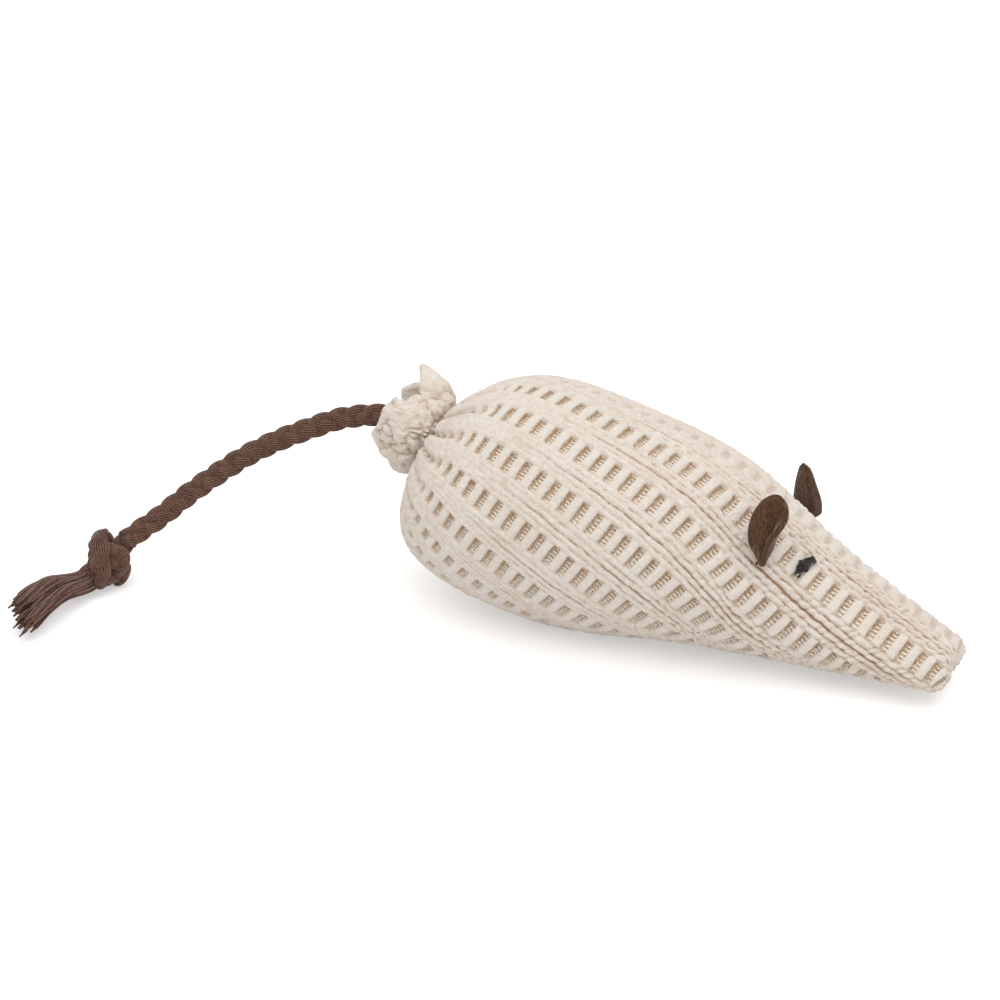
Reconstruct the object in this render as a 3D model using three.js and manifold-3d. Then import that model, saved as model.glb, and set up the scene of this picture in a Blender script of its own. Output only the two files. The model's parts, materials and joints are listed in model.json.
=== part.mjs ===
// Catnip mouse: a stuffed chenille body gathered into a ruffle, felt ears, thread eyes, a knotted cord tail.
// Millimetres. +X points to the nose, +Y to the mouse's left, +Z up. The origin is the middle of the belly.

import * as THREE from "three";
import Module from "manifold-3d";
import { mergeVertices } from "three/addons/utils/BufferGeometryUtils.js";

const wasm = await Module();
wasm.setup();

// Driving dimensions

const CLEARANCE = 0.3; // between pieces that touch

const BODY_LENGTH = 101; // rear of the haunches to the last full section of the nose
const BELLY_CENTRE = 32; // rear of the haunches to the middle of the belly flat
const GIRTH_WIDTH = 46.4; // largest section, across
const GIRTH_HEIGHT = 43.8; // largest section, top to bottom
const NOSE_ROUND = 3; // length of the rounded end of the nose
const CLOTH = 2.2; // chenille with its woven ground
const GATHERS = 10; // folds drawn into the tie
const GATHER_DEPTH = 0.07; // depth of those folds, as a share of the radius

const RIB_PITCH = 9; // one sunk ladder of the cloth to the next
const RIB_FIRST = 3.7; // ridge of the back to the first ladder on the mouse's right
const RIBS_RIGHT = 6; // ladders past that one
const RIBS_LEFT = 7;
const RIB_WIDTH = 4.3; // a ladder, between two raised bands of pile
const RIB_DEPTH = 0.6;
const RIB_PARTING = -8; // line across the back from which the ladders part towards the nose
const RIB_EASE = 6; // distance from that line over which they come to their slope
const RIB_SLOPE = 0.15; // how fast they part on the back
const RIB_STEEPENING = 0.00015; // how much faster down the sides
const RIB_TRUE = 40; // reach from the tie at which they lie a pitch apart
const RIB_RUN = [18, 64]; // reach from the tie between which they part on the back
const RIB_RUN_GROWTH = 1.2; // how much farther forward they part down the sides

const NECK_RADIUS = 4; // gathered cloth under the tie
const NECK_RISE = 22; // degrees that the neck points up, behind the body
const NECK_EASE = 0.5; // bare neck on each side of the tie

const RUFFLE_LENGTH = 6.2; // tie to the rim, at the middle of the slanting rim
const RUFFLE_RADIUS = 8.4; // middle of the cloth at the rim
const RUFFLE_LOBES = 7;
const RUFFLE_WAVE = 0.11; // in and out at the rim, as a share of the radius
const RUFFLE_SLANT = 3.6; // longest side of the rim over the middle
const RUFFLE_LONG_SIDE = 105; // degrees round the neck from the mouse's left to that side
const RUFFLE_SPIKE = 0.8; // longer and shorter lobes, at the rim

const TIE_THREAD = 0.6; // thread diameter
const TIE_TURNS = 2;
const TIE_PITCH = 1.05;

const CORD_DIAMETER = 4.3; // braided cord
const ANCHOR_DEPTH = 9; // cord held inside the body
const SWING_REACH = 7; // tie to the point where the tail swings
const LIFT_REACH = 11.5; // tie to the point where the tail lifts

const KNOT_STRAND = 2.5; // the braid, pulled tight in the knot
const KNOT_GAP = 0.55; // between strands of the knot
const KNOT_REACH = 2.1; // middle of the knot to each end, in strands
const TASSEL_STRANDS = 14;
const TASSEL_WIDTH = 10.5; // at the loose ends
const TASSEL_HEIGHT = 4.2;

const FELT = 1.0;
const EAR_LENGTH = 12.3;
const EAR_WIDTH = 7.6;
const EAR_CUP = 1.5; // depth of the hollow, across the widest part
const EAR_PINCH = 0.1; // share of the leaf's outline lost in the folded base
const EAR_POINT = 0.12; // width of the tip, as a share of the widest part
const EAR_ROLL = 1.25; // radius of the folded base
const EAR_BASE = 3.2; // length of the folded base
const EAR_SLANT = 6; // degrees that the leaf slants to the nose
const SEWING_THREAD = 0.7;

const EYE_LENGTH = 2.6;
const EYE_WIDTH = 1.9;
const EYE_TAIL = 2.4; // the second, slimmer stitch
const EYE_TAIL_WIDTH = 1.3;
const EYE_OVERLAP = 0.4; // of the two stitches
const EYE_TURN = 40; // degrees that the first stitch points down from the line to the nose
const EYE_TAIL_TURN = 55; // degrees that the second points up from it

// Stations of the body from tie to nose. along is a share of the length, rise and tall are shares of half
// the girth's height, wide is a share of half its width, and lean is the tilt of the section in degrees.
const STATIONS = [
  { along: 0.02, rise: 1.315, wide: 0.17, tall: 0.18, lean: -22 },
  { along: -0.005, rise: 1.26, wide: 0.39, tall: 0.41, lean: -24 },
  { along: 0.01, rise: 1.19, wide: 0.61, tall: 0.635, lean: -24 },
  { along: 0.06, rise: 1.12, wide: 0.85, tall: 0.865, lean: -20 },
  { along: 0.16, rise: 1.06, wide: 1, tall: 1, lean: -14 },
  { along: 0.33, rise: 0.95, wide: 1, tall: 1, lean: -6 },
  { along: 0.56, rise: 0.855, wide: 0.815, tall: 0.815, lean: -8 },
  { along: 0.78, rise: 0.55, wide: 0.555, tall: 0.49, lean: -10 },
  { along: 1, rise: 0.29, wide: 0.36, tall: 0.2, lean: -10 },
];

// The two sides of the face are sewn by hand, so they differ: side is 1 on the left and -1 on the right.
// An ear has a station number, an angle in degrees up the side of the section, a lean in degrees from
// square to the head, towards the crown, and a heading in degrees, inwards from the mouse's length.
const SIDES = [
  { name: "left", side: 1, ear: { station: 6.51, angle: 20, lean: 86, heading: 18 }, eyeAngle: 26 },
  { name: "right", side: -1, ear: { station: 6.54, angle: 42, lean: 72, heading: 21 }, eyeAngle: 59 },
];
const EYE_STATION = 6.8;

// The widest section, where the gathers rise and die out, and the ends of the stuffing wads and of the
// catnip between them, all as station numbers.
const WIDEST = 4.5;
const GATHERS_RISE = [0.1, 0.8];
const GATHERS_END = [1.2, 3.6];
const REAR_WAD = [2.6, WIDEST];
const CATNIP = [WIDEST, 5.3];
const FRONT_WAD = [5.3, 7.9];

// Route of the tail: distance behind the haunches, distance to the left, and height.
const TAIL_ROUTE = [
  [9.2, 0, 32.1],
  [13.6, -0.2, 31.8],
  [19.9, -2.8, 30.8],
  [24.9, -5.8, 29],
  [30.0, -8.8, 26.8],
  [35.0, -12.2, 24.1],
  [39.4, -16.3, 21],
  [43.7, -20.6, 17.5],
  [47.9, -25, 13.5],
  [52.4, -29.1, 9.8],
  [55.4, -32.9, 6.5],
];
const TASSEL_ROUTE = [
  [57.4, -38.5, 3.6],
  [59.6, -46.2, 2.5],
  [62, -54, 2.3],
];
const FLOOR_GAP = 0.25; // least height of the tail over the surface that the mouse lies on

// Shared shapes

const degrees = THREE.MathUtils.degToRad;
const { clamp, lerp, smoothstep } = THREE.MathUtils;

// An angle from the mouse's left, mirrored for a piece on the right.
const onSide = (side, angle) => (side > 0 ? degrees(angle) : Math.PI - degrees(angle));

// Turns every triangle round where a closed mesh faces inwards.
function faceOut(geometry) {
  const position = geometry.getAttribute("position");
  const index = geometry.getIndex();
  const corner = [new THREE.Vector3(), new THREE.Vector3(), new THREE.Vector3()];
  let volume = 0;
  for (let i = 0; i < index.count; i += 3) {
    corner.forEach((point, k) => point.fromBufferAttribute(position, index.getX(i + k)));
    volume += corner[0].dot(corner[1].clone().cross(corner[2]));
  }
  if (volume < 0) {
    for (let i = 0; i < index.count; i += 3) {
      const second = index.getX(i + 1);
      index.setX(i + 1, index.getX(i + 2));
      index.setX(i + 2, second);
    }
  }
  return geometry;
}

// Skins rings of equal count. An open row of rings gets two flat ends, and a looped row closes on itself.
function loft(rings, looped = false) {
  const sides = rings[0].length;
  const points = rings.flat();
  const triangles = [];
  const spans = looped ? rings.length : rings.length - 1;
  for (let i = 0; i < spans; i += 1) {
    const here = i * sides;
    const next = ((i + 1) % rings.length) * sides;
    for (let k = 0; k < sides; k += 1) {
      const after = (k + 1) % sides;
      triangles.push(here + k, next + k, next + after);
      triangles.push(here + k, next + after, here + after);
    }
  }
  if (!looped) {
    const last = (rings.length - 1) * sides;
    const middles = [rings[0], rings[rings.length - 1]].map(centroid);
    points.push(...middles);
    for (let k = 0; k < sides; k += 1) {
      const after = (k + 1) % sides;
      triangles.push(points.length - 2, k, after);
      triangles.push(points.length - 1, last + after, last + k);
    }
  }
  const geometry = new THREE.BufferGeometry().setFromPoints(points);
  geometry.setIndex(triangles);
  return faceOut(geometry);
}

function centroid(ring) {
  const sum = ring.reduce((total, point) => total.add(point), new THREE.Vector3());
  return sum.divideScalar(ring.length);
}

// Rings of a round tube along a curve, at the given shares of its length, with a radius for each.
function tubeRings(curve, shares, radii, sides) {
  let across = new THREE.Vector3(0, 0, 1);
  return shares.map((share, i) => {
    const along = curve.getTangentAt(share);
    across = across.clone().addScaledVector(along, -across.dot(along)).normalize();
    const other = along.clone().cross(across);
    const centre = curve.getPointAt(share);
    return ringOf(sides, (angle) => {
      const point = centre.clone().addScaledVector(across, radii[i] * Math.cos(angle));
      return point.addScaledVector(other, radii[i] * Math.sin(angle));
    });
  });
}

function ringOf(sides, pointAt) {
  return Array.from({ length: sides }, (_, k) => pointAt((2 * Math.PI * k) / sides));
}

function evenly(from, to, steps) {
  return Array.from({ length: steps + 1 }, (_, i) => from + ((to - from) * i) / steps);
}

function tube(curve, radius, sides, steps) {
  const shares = evenly(0, 1, steps);
  return loft(tubeRings(curve, shares, shares.map(() => radius), sides));
}

// A closed mesh as a solid for cutting and joining, and back.
function solid(geometry) {
  const bare = geometry.clone();
  bare.deleteAttribute("normal");
  bare.deleteAttribute("uv");
  const merged = mergeVertices(bare, 1e-4);
  const vertProperties = new Float32Array(merged.getAttribute("position").array);
  const triVerts = new Uint32Array(merged.getIndex().array);
  return new wasm.Manifold(new wasm.Mesh({ numProp: 3, vertProperties, triVerts }));
}

function surfaceOf(manifold) {
  const mesh = manifold.getMesh();
  const geometry = new THREE.BufferGeometry();
  geometry.setAttribute("position", new THREE.BufferAttribute(new Float32Array(mesh.vertProperties), 3));
  geometry.setIndex(new THREE.BufferAttribute(new Uint32Array(mesh.triVerts), 1));
  return geometry;
}

const mouse = new THREE.Group();

function addPiece(name, geometry, material) {
  geometry.computeVertexNormals();
  const mesh = new THREE.Mesh(geometry, material);
  mesh.name = name;
  mouse.add(mesh);
}

function cloth(color, roughness) {
  return new THREE.MeshStandardMaterial({ color, roughness, metalness: 0 });
}

const chenille = () => cloth(0xd8cbbb, 0.95);
const brownCotton = () => cloth(0x5f463c, 0.85);
const brownFelt = () => cloth(0x553e2e, 0.95);
const creamThread = () => cloth(0xcdbda8, 0.8);
const brownThread = () => cloth(0x4a352a, 0.8);
const blackThread = () => cloth(0x21201d, 0.7);
const fibre = () => cloth(0xf2f0ea, 1);
const driedHerb = () => cloth(0x7c8458, 1);

// Form of the body

const LAST_STATION = STATIONS.length - 1;
const INNER_SIDES = 24;
const halfWidth = GIRTH_WIDTH / 2;
const halfHeight = GIRTH_HEIGHT / 2;
const placeAlong = (station) => station.along * BODY_LENGTH - BELLY_CENTRE;
const centreLine = throughStations((s) => [placeAlong(s), s.lean, s.rise * halfHeight]);
const girthLine = throughStations((s) => [s.wide * halfWidth, s.tall * halfHeight, 0]);

function throughStations(values) {
  const points = STATIONS.map((station) => new THREE.Vector3(...values(station)));
  return new THREE.CatmullRomCurve3(points, false, "catmullrom", 0.5);
}

// One point of the skin: station number, angle from the mouse's left and depth of the folds.
// The underside is flat where the body lies on its belly.
function bodyPoint(station, angle, folds = 0) {
  const middle = centreLine.getPoint(station / LAST_STATION);
  const girth = girthLine.getPoint(station / LAST_STATION);
  const lean = degrees(middle.y);
  const swell = 1 + folds * gatherFade(station) * Math.cos(GATHERS * angle);
  const side = girth.x * swell * Math.cos(angle);
  const up = girth.y * swell * Math.sin(angle);
  const height = Math.max(middle.z + Math.cos(lean) * up, 0);
  return new THREE.Vector3(middle.x - Math.sin(lean) * up, side, height);
}

// The folds rise from nothing at the tie, are deepest near it and die out over the haunches.
function gatherFade(station) {
  return smoothstep(station, ...GATHERS_RISE) * (1 - smoothstep(station, ...GATHERS_END));
}

// Outward direction of the skin.
function bodyNormal(station, angle) {
  const step = 0.02;
  const ahead = Math.min(station + step, LAST_STATION);
  const behind = Math.max(station - step, 0);
  const along = bodyPoint(ahead, angle).sub(bodyPoint(behind, angle));
  const around = bodyPoint(station, angle + step).sub(bodyPoint(station, angle - step));
  return around.cross(along).normalize();
}

// A point at a depth under the skin.
function underSkin(station, angle, depth) {
  const point = bodyPoint(station, angle).addScaledVector(bodyNormal(station, angle), -depth);
  point.z = Math.max(point.z, depth);
  return point;
}

function innerRings(stations, depth) {
  return stations.map((station) => ringOf(INNER_SIDES, (angle) => underSkin(station, angle, depth)));
}

const NECK_BORE = CORD_DIAMETER / 2 + CLEARANCE;
const NECK_BAND = TIE_TURNS * TIE_PITCH + TIE_THREAD + 2 * (CLEARANCE + NECK_EASE);
const neckAxis = new THREE.Vector3(-Math.cos(degrees(NECK_RISE)), 0, Math.sin(degrees(NECK_RISE)));
const neckUp = new THREE.Vector3(0, 1, 0).cross(neckAxis).normalize();
const neckMouth = centroid(ringOf(4, (angle) => bodyPoint(0, angle)));
const tieMiddle = neckMouth.clone().addScaledVector(neckAxis, NECK_BAND / 2);

// A ring round the neck, at a distance behind the middle of the tie.
function neckRing(distance, sides, radiusAt, shiftAt = () => 0) {
  return ringOf(sides, (angle) => {
    const point = tieMiddle.clone().addScaledVector(neckAxis, distance + shiftAt(angle));
    point.y += radiusAt(angle) * Math.cos(angle);
    return point.addScaledVector(neckUp, radiusAt(angle) * Math.sin(angle));
  });
}

// Route of the tail, from its end inside the body to the knot

const TAIL_MEASURES = 800; // steps in which the tail's length is measured
const CORD_SIDES = 10;
const CORD_STEP = 1.6; // length of one step of the cord, in diameters
const CORD_DOME = [8, 30, 55]; // degrees round the rounded start of a stretch

const alongNeck = (distance) => tieMiddle.clone().addScaledVector(neckAxis, distance);
const behindBody = ([back, left, height]) => new THREE.Vector3(-BELLY_CENTRE - back, left, height);
const tailRoute = TAIL_ROUTE.map(behindBody);
const tailCurve = new THREE.CatmullRomCurve3([
  alongNeck(-ANCHOR_DEPTH),
  alongNeck(-ANCHOR_DEPTH / 2),
  alongNeck(0),
  alongNeck(NECK_BAND / 2),
  ...tailRoute,
]);
tailCurve.arcLengthDivisions = TAIL_MEASURES;
const tailLength = tailCurve.getLength();
const cordRadius = CORD_DIAMETER / 2;

// A stretch of the cord between two distances from its inner end, with a round or a flat start.
function cordStretch(from, to, roundStart) {
  const dome = roundStart ? CORD_DOME.map(degrees) : [];
  const distances = dome.map((angle) => from + cordRadius * (1 - Math.cos(angle)));
  const radii = dome.map((angle) => cordRadius * Math.sin(angle));
  const start = roundStart ? from + cordRadius : from;
  const steps = Math.max(2, Math.round((to - start) / (CORD_STEP * CORD_DIAMETER)));
  for (const distance of evenly(start, to, steps)) {
    distances.push(distance);
    radii.push(cordRadius);
  }
  return loft(tubeRings(tailCurve, distances.map((d) => d / tailLength), radii, CORD_SIDES));
}

// Cover: one cloth, closed at the nose and open at the gathered neck

const COVER_SIDES = 4 * GATHERS;
const COVER_STEPS = 18;
const HOLLOW_STEPS = 14;
const coverStations = [0, 0.3, 0.6, ...evenly(0.9, LAST_STATION, COVER_STEPS)];
const hollowStations = [0.5, ...evenly(1, LAST_STATION, HOLLOW_STEPS)];
const NOSE_TURNS = [35, 65, 85]; // degrees round the rounded nose
const NOSE_NARROWS = 0.3; // share of its width that the nose loses there

const MEASURES = 180; // steps in which a length of cloth is measured
const RIB_STATIONS = [2.1, 7.9];
const RIB_STEPS = 16;
const RIB_ROUNDS = 4; // times that a ladder's place is worked out again from its reach
const RIB_UNDER = 135; // degrees from the ridge past which a ladder lies under the mouse
const RIB_LIFT = 0.4; // height of a cutter over the cloth where it leaves it
const RIB_CUT = 3; // height of a cutter
const RIB_FLARE = 0.4; // slope of its sides
const EAR_BED = [3, 6]; // distance from an ear's base over which the ladders rise to plain cloth
const earPlaces = SIDES.map(({ side, ear: place }) => bodyPoint(place.station, onSide(side, place.angle)));

function noseRings(sides) {
  const lean = degrees(STATIONS[LAST_STATION].lean);
  const forward = new THREE.Vector3(Math.cos(lean), 0, Math.sin(lean));
  const middle = centreLine.getPoint(1);
  const centre = new THREE.Vector3(middle.x, 0, middle.z);
  return NOSE_TURNS.map((angle) => {
    const flat = Math.cos(degrees(angle));
    const narrow = 1 - NOSE_NARROWS * (1 - flat);
    const reach = NOSE_ROUND * Math.sin(degrees(angle));
    return ringOf(sides, (turn) => {
      const offset = bodyPoint(LAST_STATION, turn).sub(centre);
      const height = offset.dot(new THREE.Vector3(-Math.sin(lean), 0, Math.cos(lean)));
      const point = centre.clone().addScaledVector(forward, reach);
      point.y = offset.y * narrow;
      point.x -= Math.sin(lean) * height * flat;
      point.z += Math.cos(lean) * height * flat;
      return point;
    });
  });
}

function skinRing(station) {
  return ringOf(COVER_SIDES, (angle) => bodyPoint(station, angle, GATHER_DEPTH));
}

function lengthOf(points) {
  return points.slice(1).reduce((sum, point, i) => sum + point.distanceTo(points[i]), 0);
}

// Distance from the tie to a station, along the cloth.
function reachTo(station, angle) {
  return lengthOf(evenly(0, station, MEASURES).map((place) => bodyPoint(place, angle)));
}

// Points of half a section, from the ridge of the back to the middle of the belly.
function halfSection(station) {
  return evenly(0, Math.PI, MEASURES).map((turn) => bodyPoint(station, Math.PI / 2 + turn));
}

// Angle at a distance round a section from the ridge, to the mouse's right.
function angleFromRidge(station, distance) {
  const points = halfSection(station);
  let passed = 0;
  let k = 0;
  while (k < MEASURES && passed < Math.abs(distance)) {
    passed += points[k + 1].distanceTo(points[k]);
    k += 1;
  }
  return Math.PI / 2 + (Math.sign(distance) * Math.PI * k) / MEASURES;
}

// A ladder from the haunches to the nose, or to where it turns under. The gathers draw ladders together.
function ribPlaces(number) {
  const rib = RIB_FIRST + number * RIB_PITCH;
  const parting = RIB_SLOPE * Math.tanh((rib - RIB_PARTING) / RIB_EASE);
  const slope = parting + RIB_STEEPENING * rib * Math.abs(rib);
  const farthest = RIB_RUN[1] + RIB_RUN_GROWTH * Math.abs(rib);
  const girth = lengthOf(halfSection(WIDEST));
  const places = [];
  for (const station of evenly(...RIB_STATIONS, RIB_STEPS)) {
    const drawn = station < WIDEST ? lengthOf(halfSection(station)) / girth : 1;
    let angle = angleFromRidge(station, drawn * rib);
    for (let round = 0; round < RIB_ROUNDS; round += 1) {
      const reach = clamp(reachTo(station, angle), RIB_RUN[0], farthest);
      angle = angleFromRidge(station, drawn * (rib + slope * (reach - RIB_TRUE)));
    }
    if (Math.abs(angle - Math.PI / 2) > degrees(RIB_UNDER)) {
      break;
    }
    places.push({ station, angle, half: (drawn * RIB_WIDTH) / 2 });
  }
  return places;
}

// The cutter for one ladder. It lifts out of the cloth at both ends and where an ear is sewn on.
function ribCutter(number) {
  const places = ribPlaces(number);
  const rings = places.map(({ station, angle, half }, i) => {
    const point = bodyPoint(station, angle);
    const normal = bodyNormal(station, angle);
    const around = bodyPoint(station, angle + degrees(1)).sub(point).normalize();
    const fromEar = Math.min(...earPlaces.map((place) => place.distanceTo(point)));
    const inner = i > 0 && i < places.length - 1;
    const floor = lerp(RIB_LIFT, -RIB_DEPTH, inner ? smoothstep(fromEar, ...EAR_BED) : 0);
    const corner = (across, up) => point.clone().addScaledVector(around, across).addScaledVector(normal, up);
    const top = floor + RIB_CUT;
    const wide = half + RIB_CUT * RIB_FLARE;
    return [corner(-half, floor), corner(half, floor), corner(wide, top), corner(-wide, top)];
  });
  return solid(loft(rings));
}

function coverShell() {
  const outside = loft([
    neckRing(-CLEARANCE / 2, COVER_SIDES, () => NECK_RADIUS),
    ...coverStations.map(skinRing),
    ...noseRings(COVER_SIDES),
  ]);
  const hollow = loft([
    neckRing(NECK_BAND, INNER_SIDES, () => NECK_BORE),
    neckRing(-NECK_BAND / 2 - CLOTH, INNER_SIDES, () => NECK_BORE),
    ...innerRings(hollowStations, CLOTH),
  ]);
  let shell = solid(outside).subtract(solid(hollow));
  for (let number = -RIBS_LEFT; number <= RIBS_RIGHT; number += 1) {
    shell = shell.subtract(ribCutter(number));
  }
  return surfaceOf(shell);
}

addPiece("body_cover", coverShell(), chenille());

// Stuffing: two wads of fibre with a charge of dried catnip between them

const WAD_STEPS = 5;
const HOLE_SIDES = 12;

function wad([from, to]) {
  const gap = CLEARANCE / BODY_LENGTH;
  const stations = evenly(from + gap * LAST_STATION, to - gap * LAST_STATION, WAD_STEPS);
  return loft(innerRings(stations, CLOTH + CLEARANCE));
}

function rearWad() {
  const length = ANCHOR_DEPTH + CLEARANCE;
  const hole = new THREE.LineCurve3(alongNeck(-length), alongNeck(NECK_BAND));
  return surfaceOf(solid(wad(REAR_WAD)).subtract(solid(tube(hole, NECK_BORE, HOLE_SIDES, 1))));
}

addPiece("rear_fibre_wad", rearWad(), fibre());
addPiece("catnip_charge", wad(CATNIP), driedHerb());
addPiece("front_fibre_wad", wad(FRONT_WAD), fibre());

// Ruffle: the free edge of the same cloth, flaring behind the tie

const SIDES_PER_LOBE = 6;
const LOBE_MIX = 0.5; // share of the threefold lobes in the rim
const LOBE_TURN = 0.6; // radians by which the twofold lobes are turned
const RUFFLE_SHARES = [0, 0.22, 0.34, 0.46, 0.6, 0.8, 1]; // rings along the cloth, tie to rim
const RUFFLE_OPENS = [0.3, 1]; // between these shares the lobes grow
const RUFFLE_THICKENS = [0.2, 0.5]; // and between these the gathered cloth comes to its full thickness
const RUFFLE_FLARE = [[0.55, 0.3], [0.85, 0.6]]; // shares of the radius, at shares of the length

// Half of the cloth's section: distance from the neck's axis, and distance behind the middle of the tie.
function ruffleProfile() {
  const neckMiddle = (NECK_RADIUS + NECK_BORE) / 2;
  const tieEdge = (NECK_BAND - NECK_EASE) / 2;
  const place = ([out, back]) =>
    new THREE.Vector2(lerp(neckMiddle, RUFFLE_RADIUS, out), tieEdge + back * RUFFLE_LENGTH);
  return new THREE.SplineCurve([
    new THREE.Vector2(neckMiddle, CLEARANCE / 2),
    new THREE.Vector2(neckMiddle, tieEdge),
    ...RUFFLE_FLARE.map(place),
    new THREE.Vector2(RUFFLE_RADIUS, tieEdge + RUFFLE_LENGTH),
  ]);
}

function ruffle() {
  const profile = ruffleProfile();
  const lobes = (angle) => Math.cos(2 * angle - LOBE_TURN) + LOBE_MIX * Math.sin(3 * angle);
  const slant = (angle) => RUFFLE_SLANT * Math.cos(angle - degrees(RUFFLE_LONG_SIDE));
  const rim = (angle) => slant(angle) + RUFFLE_SPIKE * lobes(angle);
  const ringAt = (share, face) => {
    const open = smoothstep(share, ...RUFFLE_OPENS);
    const wall = lerp(NECK_RADIUS - NECK_BORE, CLOTH, smoothstep(share, ...RUFFLE_THICKENS));
    const middle = profile.getPoint(share);
    const along = profile.getTangent(share);
    const radius = middle.x + (face * wall * along.y) / 2;
    const back = middle.y - (face * wall * along.x) / 2;
    const radiusAt = (angle) => radius * (1 + RUFFLE_WAVE * open * Math.cos(RUFFLE_LOBES * angle));
    return neckRing(back, SIDES_PER_LOBE * RUFFLE_LOBES, radiusAt, (angle) => open * rim(angle));
  };
  const outside = RUFFLE_SHARES.map((share) => ringAt(share, 1));
  const inside = RUFFLE_SHARES.map((share) => ringAt(share, -1)).reverse();
  return loft([...outside, ...inside], true);
}

addPiece("rear_ruffle", ruffle(), chenille());

// Tie: strong thread wound round the gathered neck

const THREAD_SIDES = 6;
const STEPS_PER_TURN = 24;

class Winding extends THREE.Curve {
  getPoint(t) {
    const angle = 2 * Math.PI * TIE_TURNS * t;
    const radius = NECK_RADIUS + CLEARANCE + TIE_THREAD / 2;
    const point = alongNeck(TIE_PITCH * TIE_TURNS * (t - 0.5));
    point.y += radius * Math.cos(angle);
    return point.addScaledVector(neckUp, radius * Math.sin(angle));
  }
}

const winding = tube(new Winding(), TIE_THREAD / 2, THREAD_SIDES, STEPS_PER_TURN * TIE_TURNS);
console.log("tie: gap between turns", (TIE_PITCH - TIE_THREAD).toFixed(2), "mm");
addPiece("gather_tie", winding, creamThread());

// Tail: the end held in the neck, a short root that swings, and the free cord that lifts

const swingAt = ANCHOR_DEPTH + SWING_REACH;
const liftAt = ANCHOR_DEPTH + LIFT_REACH;
const knotPitch = KNOT_STRAND + KNOT_GAP;
const knotStart = tailLength - KNOT_REACH * knotPitch;
const rootStart = swingAt - cordRadius;
const freeStart = liftAt - cordRadius;
addPiece("tail_anchor", cordStretch(0, rootStart - CLEARANCE, false), brownCotton());
addPiece("tail_root", cordStretch(rootStart, freeStart - CLEARANCE, true), brownCotton());
addPiece("tail_cord", cordStretch(freeStart, knotStart - CLEARANCE, true), brownCotton());

// Knot: an overhand knot, its two inner runs crossing inside one full turn

const knotMiddle = tailCurve.getPointAt(1);
const knotEntry = tailCurve.getPointAt(knotStart / tailLength);
const knotAxis = behindBody(TASSEL_ROUTE[0]).sub(knotEntry).normalize();
const knotSide = new THREE.Vector3(0, 0, 1).cross(knotAxis).normalize();
const knotUp = knotAxis.clone().cross(knotSide);

// The run into the knot, in strands along, beside and above its middle. The run out is its mirror.
const KNOT_RUN = [
  [-KNOT_REACH, 0, 0],
  [-1.8, 0, 0],
  [-1.5, -0.1, -0.08],
  [-1.1, -0.3, -0.2],
  [0, -0.1, -0.5],
  [0.55, 0.35, -0.6],
  [0.9, 0.6, -0.45],
];
const KNOT_TURN = { along: 1.05, beside: 1.05, above: 1.5, shift: -0.3 }; // the full turn, in strands
const TURN_STEPS = 8;
const KNOT_SIDES = 8;
const KNOT_STEPS = 64;
const KNOT_TAPER = 0.1; // share of its length over which each end comes to the size of the cord
const KNOT_MEASURES = 300; // points between which the least gap is measured
const KNOT_NEXT = 3.6; // radii along the strand within which points belong to the same run

function knotCurve() {
  const place = ([along, beside, above]) =>
    knotMiddle
      .clone()
      .addScaledVector(knotAxis, along * knotPitch)
      .addScaledVector(knotSide, beside * knotPitch)
      .addScaledVector(knotUp, above * knotPitch);
  const turn = evenly(0, 1, TURN_STEPS).map((share) => [
    KNOT_TURN.along * (1 - 2 * share),
    KNOT_TURN.beside * Math.cos(2 * Math.PI * share) + KNOT_TURN.shift,
    KNOT_TURN.above * Math.sin(2 * Math.PI * share),
  ]);
  const runOut = KNOT_RUN.map(([along, beside, above]) => [-along, beside, -above]).reverse();
  return new THREE.CatmullRomCurve3([...KNOT_RUN, ...turn, ...runOut].map(place));
}

// Least gap between strands that aren't next to each other along the knot.
function leastGap(curve, radius) {
  const points = curve.getSpacedPoints(KNOT_MEASURES);
  const step = curve.getLength() / KNOT_MEASURES;
  let least = Infinity;
  for (let i = 0; i < points.length; i += 1) {
    for (let k = i + Math.ceil((KNOT_NEXT * radius) / step); k < points.length; k += 1) {
      least = Math.min(least, points[i].distanceTo(points[k]) - 2 * radius);
    }
  }
  return least;
}

function knot() {
  const curve = knotCurve();
  const shares = evenly(0, 1, KNOT_STEPS);
  const taper = (share) => 1 - smoothstep(Math.min(share, 1 - share), 0, KNOT_TAPER);
  const strand = KNOT_STRAND / 2;
  const radii = shares.map((share) => lerp(strand, cordRadius - CLEARANCE, taper(share)));
  console.log("knot: least gap", leastGap(curve, strand).toFixed(2), "mm");
  return loft(tubeRings(curve, shares, radii, KNOT_SIDES));
}

addPiece("tail_knot", knot(), brownCotton());

// Tassel: the braid undone past the knot, its strands spread on the floor

const TASSEL_SHARES = [0, 0.06, 0.2, 0.4, 0.7, 1]; // rings along the strands
const TASSEL_SPREAD = 0.9; // share of the length at which the strands lie spread out
const TASSEL_GROOVE = 0.14; // depth of the grooves between strands, as a share of the size
const TASSEL_FRAY = 1.6; // longer and shorter ends
const SIDES_PER_STRAND = 3;

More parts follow.
